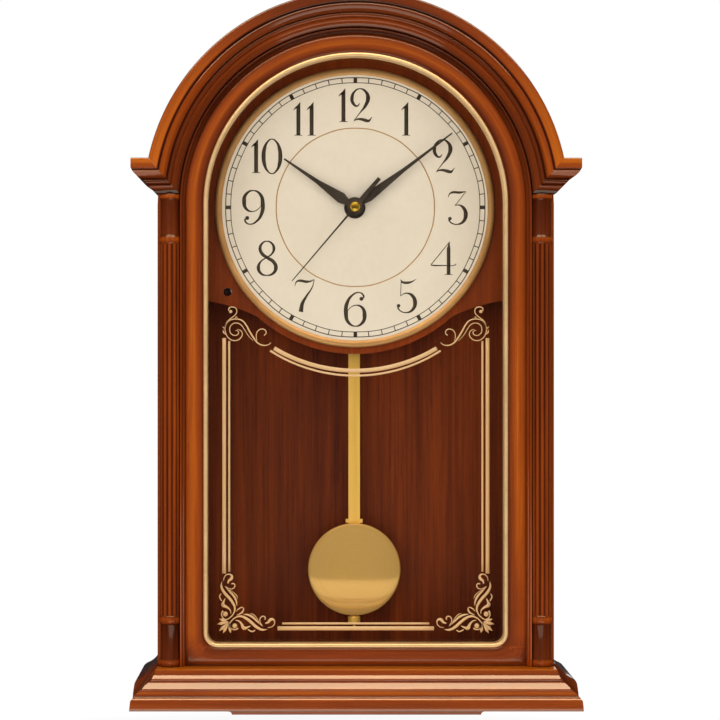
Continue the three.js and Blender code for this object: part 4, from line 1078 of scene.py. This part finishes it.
# ---- The frame's own nodes --------------------------------------------------------------------
NODES_IN_FINISH = {
    "upright": ["front_frame"],
    "back": ["back_panel"],
    "level": ["bottom_apron"],
    "board": ["dial_board"],
    "glass": ["glass_pane"],
    "steel": ["hanger_plate", "stator", "contact_minus", "contact_plus", "pivot_pin"],
    "hand": ["hour_hand", "minute_hand", "second_hand", "fixing_washer", "fixing_nut"],
    "cap": ["hand_cap"],
    "nylon": ["second_wheel", "third_wheel", "intermediate_wheel", "hour_wheel", "minute_wheel",
              "pendulum_arm"],
    "brass": ["centre_wheel", "minute_arbor"],
    "magnet": ["rotor"],
    "knob": ["setting_knob"],
    "black": ["movement_base", "movement_cover", "chime_box"],
    "copper": ["motor_coil", "drive_coil"],
    "circuit": ["circuit_board"],
    "cell": ["battery", "chime_cell_1", "chime_cell_2"],
    "rod": ["pendulum_rod", "bob_back", "rating_nut"],
    "speaker": ["speaker"],
    "lens": ["light_sensor"],
    "lead": ["sensor_lead"],
}


def finish_nodes():
    for key, names in NODES_IN_FINISH.items():
        for name in names:
            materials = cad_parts[name].data.materials
            materials.clear()
            materials.append(FINISHES[key])


# ---- Stage, light and camera, in metres -------------------------------------------------------
FLOOR, FLOOR_REACH = -0.62, 1.2
FLOOR_FADE = (0.3, 0.8)  # where the floor starts to turn white, and where it has
WORLD_FOR_GLOSS, WORLD_FOR_MATT = 0.03, 0.25
EYE = (-0.033, -1.392, -0.1989)
LENS, SIDE_SHIFT = 90.28, 0.0685


def area_light(name, place, aim, size, power, colour=(1, 1, 1), unseen=("camera",)):
    """A soft lamp. `unseen` names the kinds of ray that pass it by."""
    light = bpy.data.lights.new(name, "AREA")
    light.shape, light.size, light.size_y = "RECTANGLE", *size
    light.energy, light.color = power, colour
    lamp = bpy.data.objects.new(name, light)
    lamp.location = place
    lamp.rotation_euler = (Vector(aim) - Vector(place)).to_track_quat("-Z", "Y").to_euler()
    for ray in unseen:
        setattr(lamp, "visible_" + ray, False)
    bpy.context.scene.collection.objects.link(lamp)


def make_floor_material():
    """A pale floor that fades into the white of the studio far from the middle."""
    material, b = new_material("studio_floor")
    place = b.node("ShaderNodeTexCoord").outputs["Object"]
    fine = b.node("ShaderNodeGroup", {"node_tree": TEXTURE_GROUP}, Vector=place, First=srgb("f1f0ee"),
                  Second=srgb("f4f3f1"), Scale=40, Smooth=0.7, Rough=0.8)
    away = b.node("ShaderNodeVectorMath", {"operation": "LENGTH"}, i0=place).outputs["Value"]
    fade = b.span(away, *FLOOR_FADE)
    path = b.node("ShaderNodeLightPath")
    white = b.math("MULTIPLY", fade, path.outputs["Is Camera Ray"])
    shader = finish_shader(b, fine.outputs["Height"], 0.05, 0.0001,
                           Base_Color=b.mix(white, fine.outputs["Color"], srgb("000000")),
                           Roughness=fine.outputs["Roughness"], Specular_IOR_Level=0.1, Emission_Strength=1.0)
    b.feed(shader.inputs["Emission Color"], b.mix(white, srgb("000000"), srgb("ffffff")))
    return material


def make_floor():
    bpy.ops.object.select_all(action="DESELECT")
    bpy.ops.mesh.primitive_circle_add(vertices=96, radius=FLOOR_REACH, fill_type="NGON",
                                      location=(0, 0, FLOOR))
    floor = bpy.context.object
    floor.name = "studio_floor"
    floor.data.materials.append(make_floor_material())
    floor.visible_glossy = False


def make_world():
    """White behind the clock, but only a weak light from all round, and nearly dark in its gloss."""
    world = bpy.data.worlds.new("studio")
    bpy.context.scene.world = world
    world.use_nodes = True
    b = Board(world.node_tree)
    path = b.node("ShaderNodeLightPath")
    fill = b.span(path.outputs["Is Diffuse Ray"], 0, 1, WORLD_FOR_GLOSS, WORLD_FOR_MATT)
    strength = b.math("MAXIMUM", path.outputs["Is Camera Ray"], fill)
    light = b.node("ShaderNodeBackground", None, Color=(1, 1, 1, 1), Strength=strength)
    b.node("ShaderNodeOutputWorld", None, Surface=light.outputs[0])


def make_lights():
    """Fills that only light matt colour, and cards that only show in gloss."""
    middle, fill = (0, 0, -0.2), ("camera", "glossy", "transmission")
    card = ("camera", "diffuse", "transmission")
    area_light("front_fill", (-0.2, -1.9, 0.1), middle, (1.8, 1.4), 15, unseen=fill)
    area_light("left_fill", (-1.3, -1.15, 0), middle, (0.9, 1.3), 7.5, unseen=fill)
    area_light("right_fill", (1.3, -1.15, 0), middle, (0.9, 1.3), 7, unseen=fill)
    area_light("back_fill", (0.5, 1.6, 0.5), middle, (1.4, 1.2), 8)
    area_light("sheen_card", (0, -0.75, 0.85), (0, 0, -0.3), (1.8, 0.8), 58, (1, 0.79, 0.5), card)
    area_light("low_card", (0, -0.66, -0.6), (0, -0.66, 0), (0.6, 0.54), 4.7, (1, 0.9, 0.7), card)


def make_camera():
    camera = bpy.data.cameras.new("camera")
    camera.sensor_width, camera.lens, camera.shift_x = 36, LENS, SIDE_SHIFT
    eye = bpy.data.objects.new("camera", camera)
    eye.location = EYE
    eye.rotation_euler = (QUARTER, 0, 0)
    bpy.context.scene.collection.objects.link(eye)
    bpy.context.scene.camera = eye
    bpy.context.scene.view_settings.view_transform = "Standard"


make_cornice_arch()
make_shoulder(-1, "cornice_left")
make_shoulder(1, "cornice_right")
make_listel()
make_frame_face()
make_bead()
make_plinth()
make_column(-1, "column_left")
make_column(1, "column_right")
for node in ("side_left", "side_right"):
    board(node, "upright", "dark_wood")
board("bottom_board", "level", "dark_wood")
for node in ("glass_stop_left", "glass_stop_right"):
    board(node, "rough", "stop_wood")
make_roof()
make_dial()
make_dial_print()
make_glass_print()
make_bob()
finish_nodes()
make_floor()
make_world()
make_lights()
make_camera()
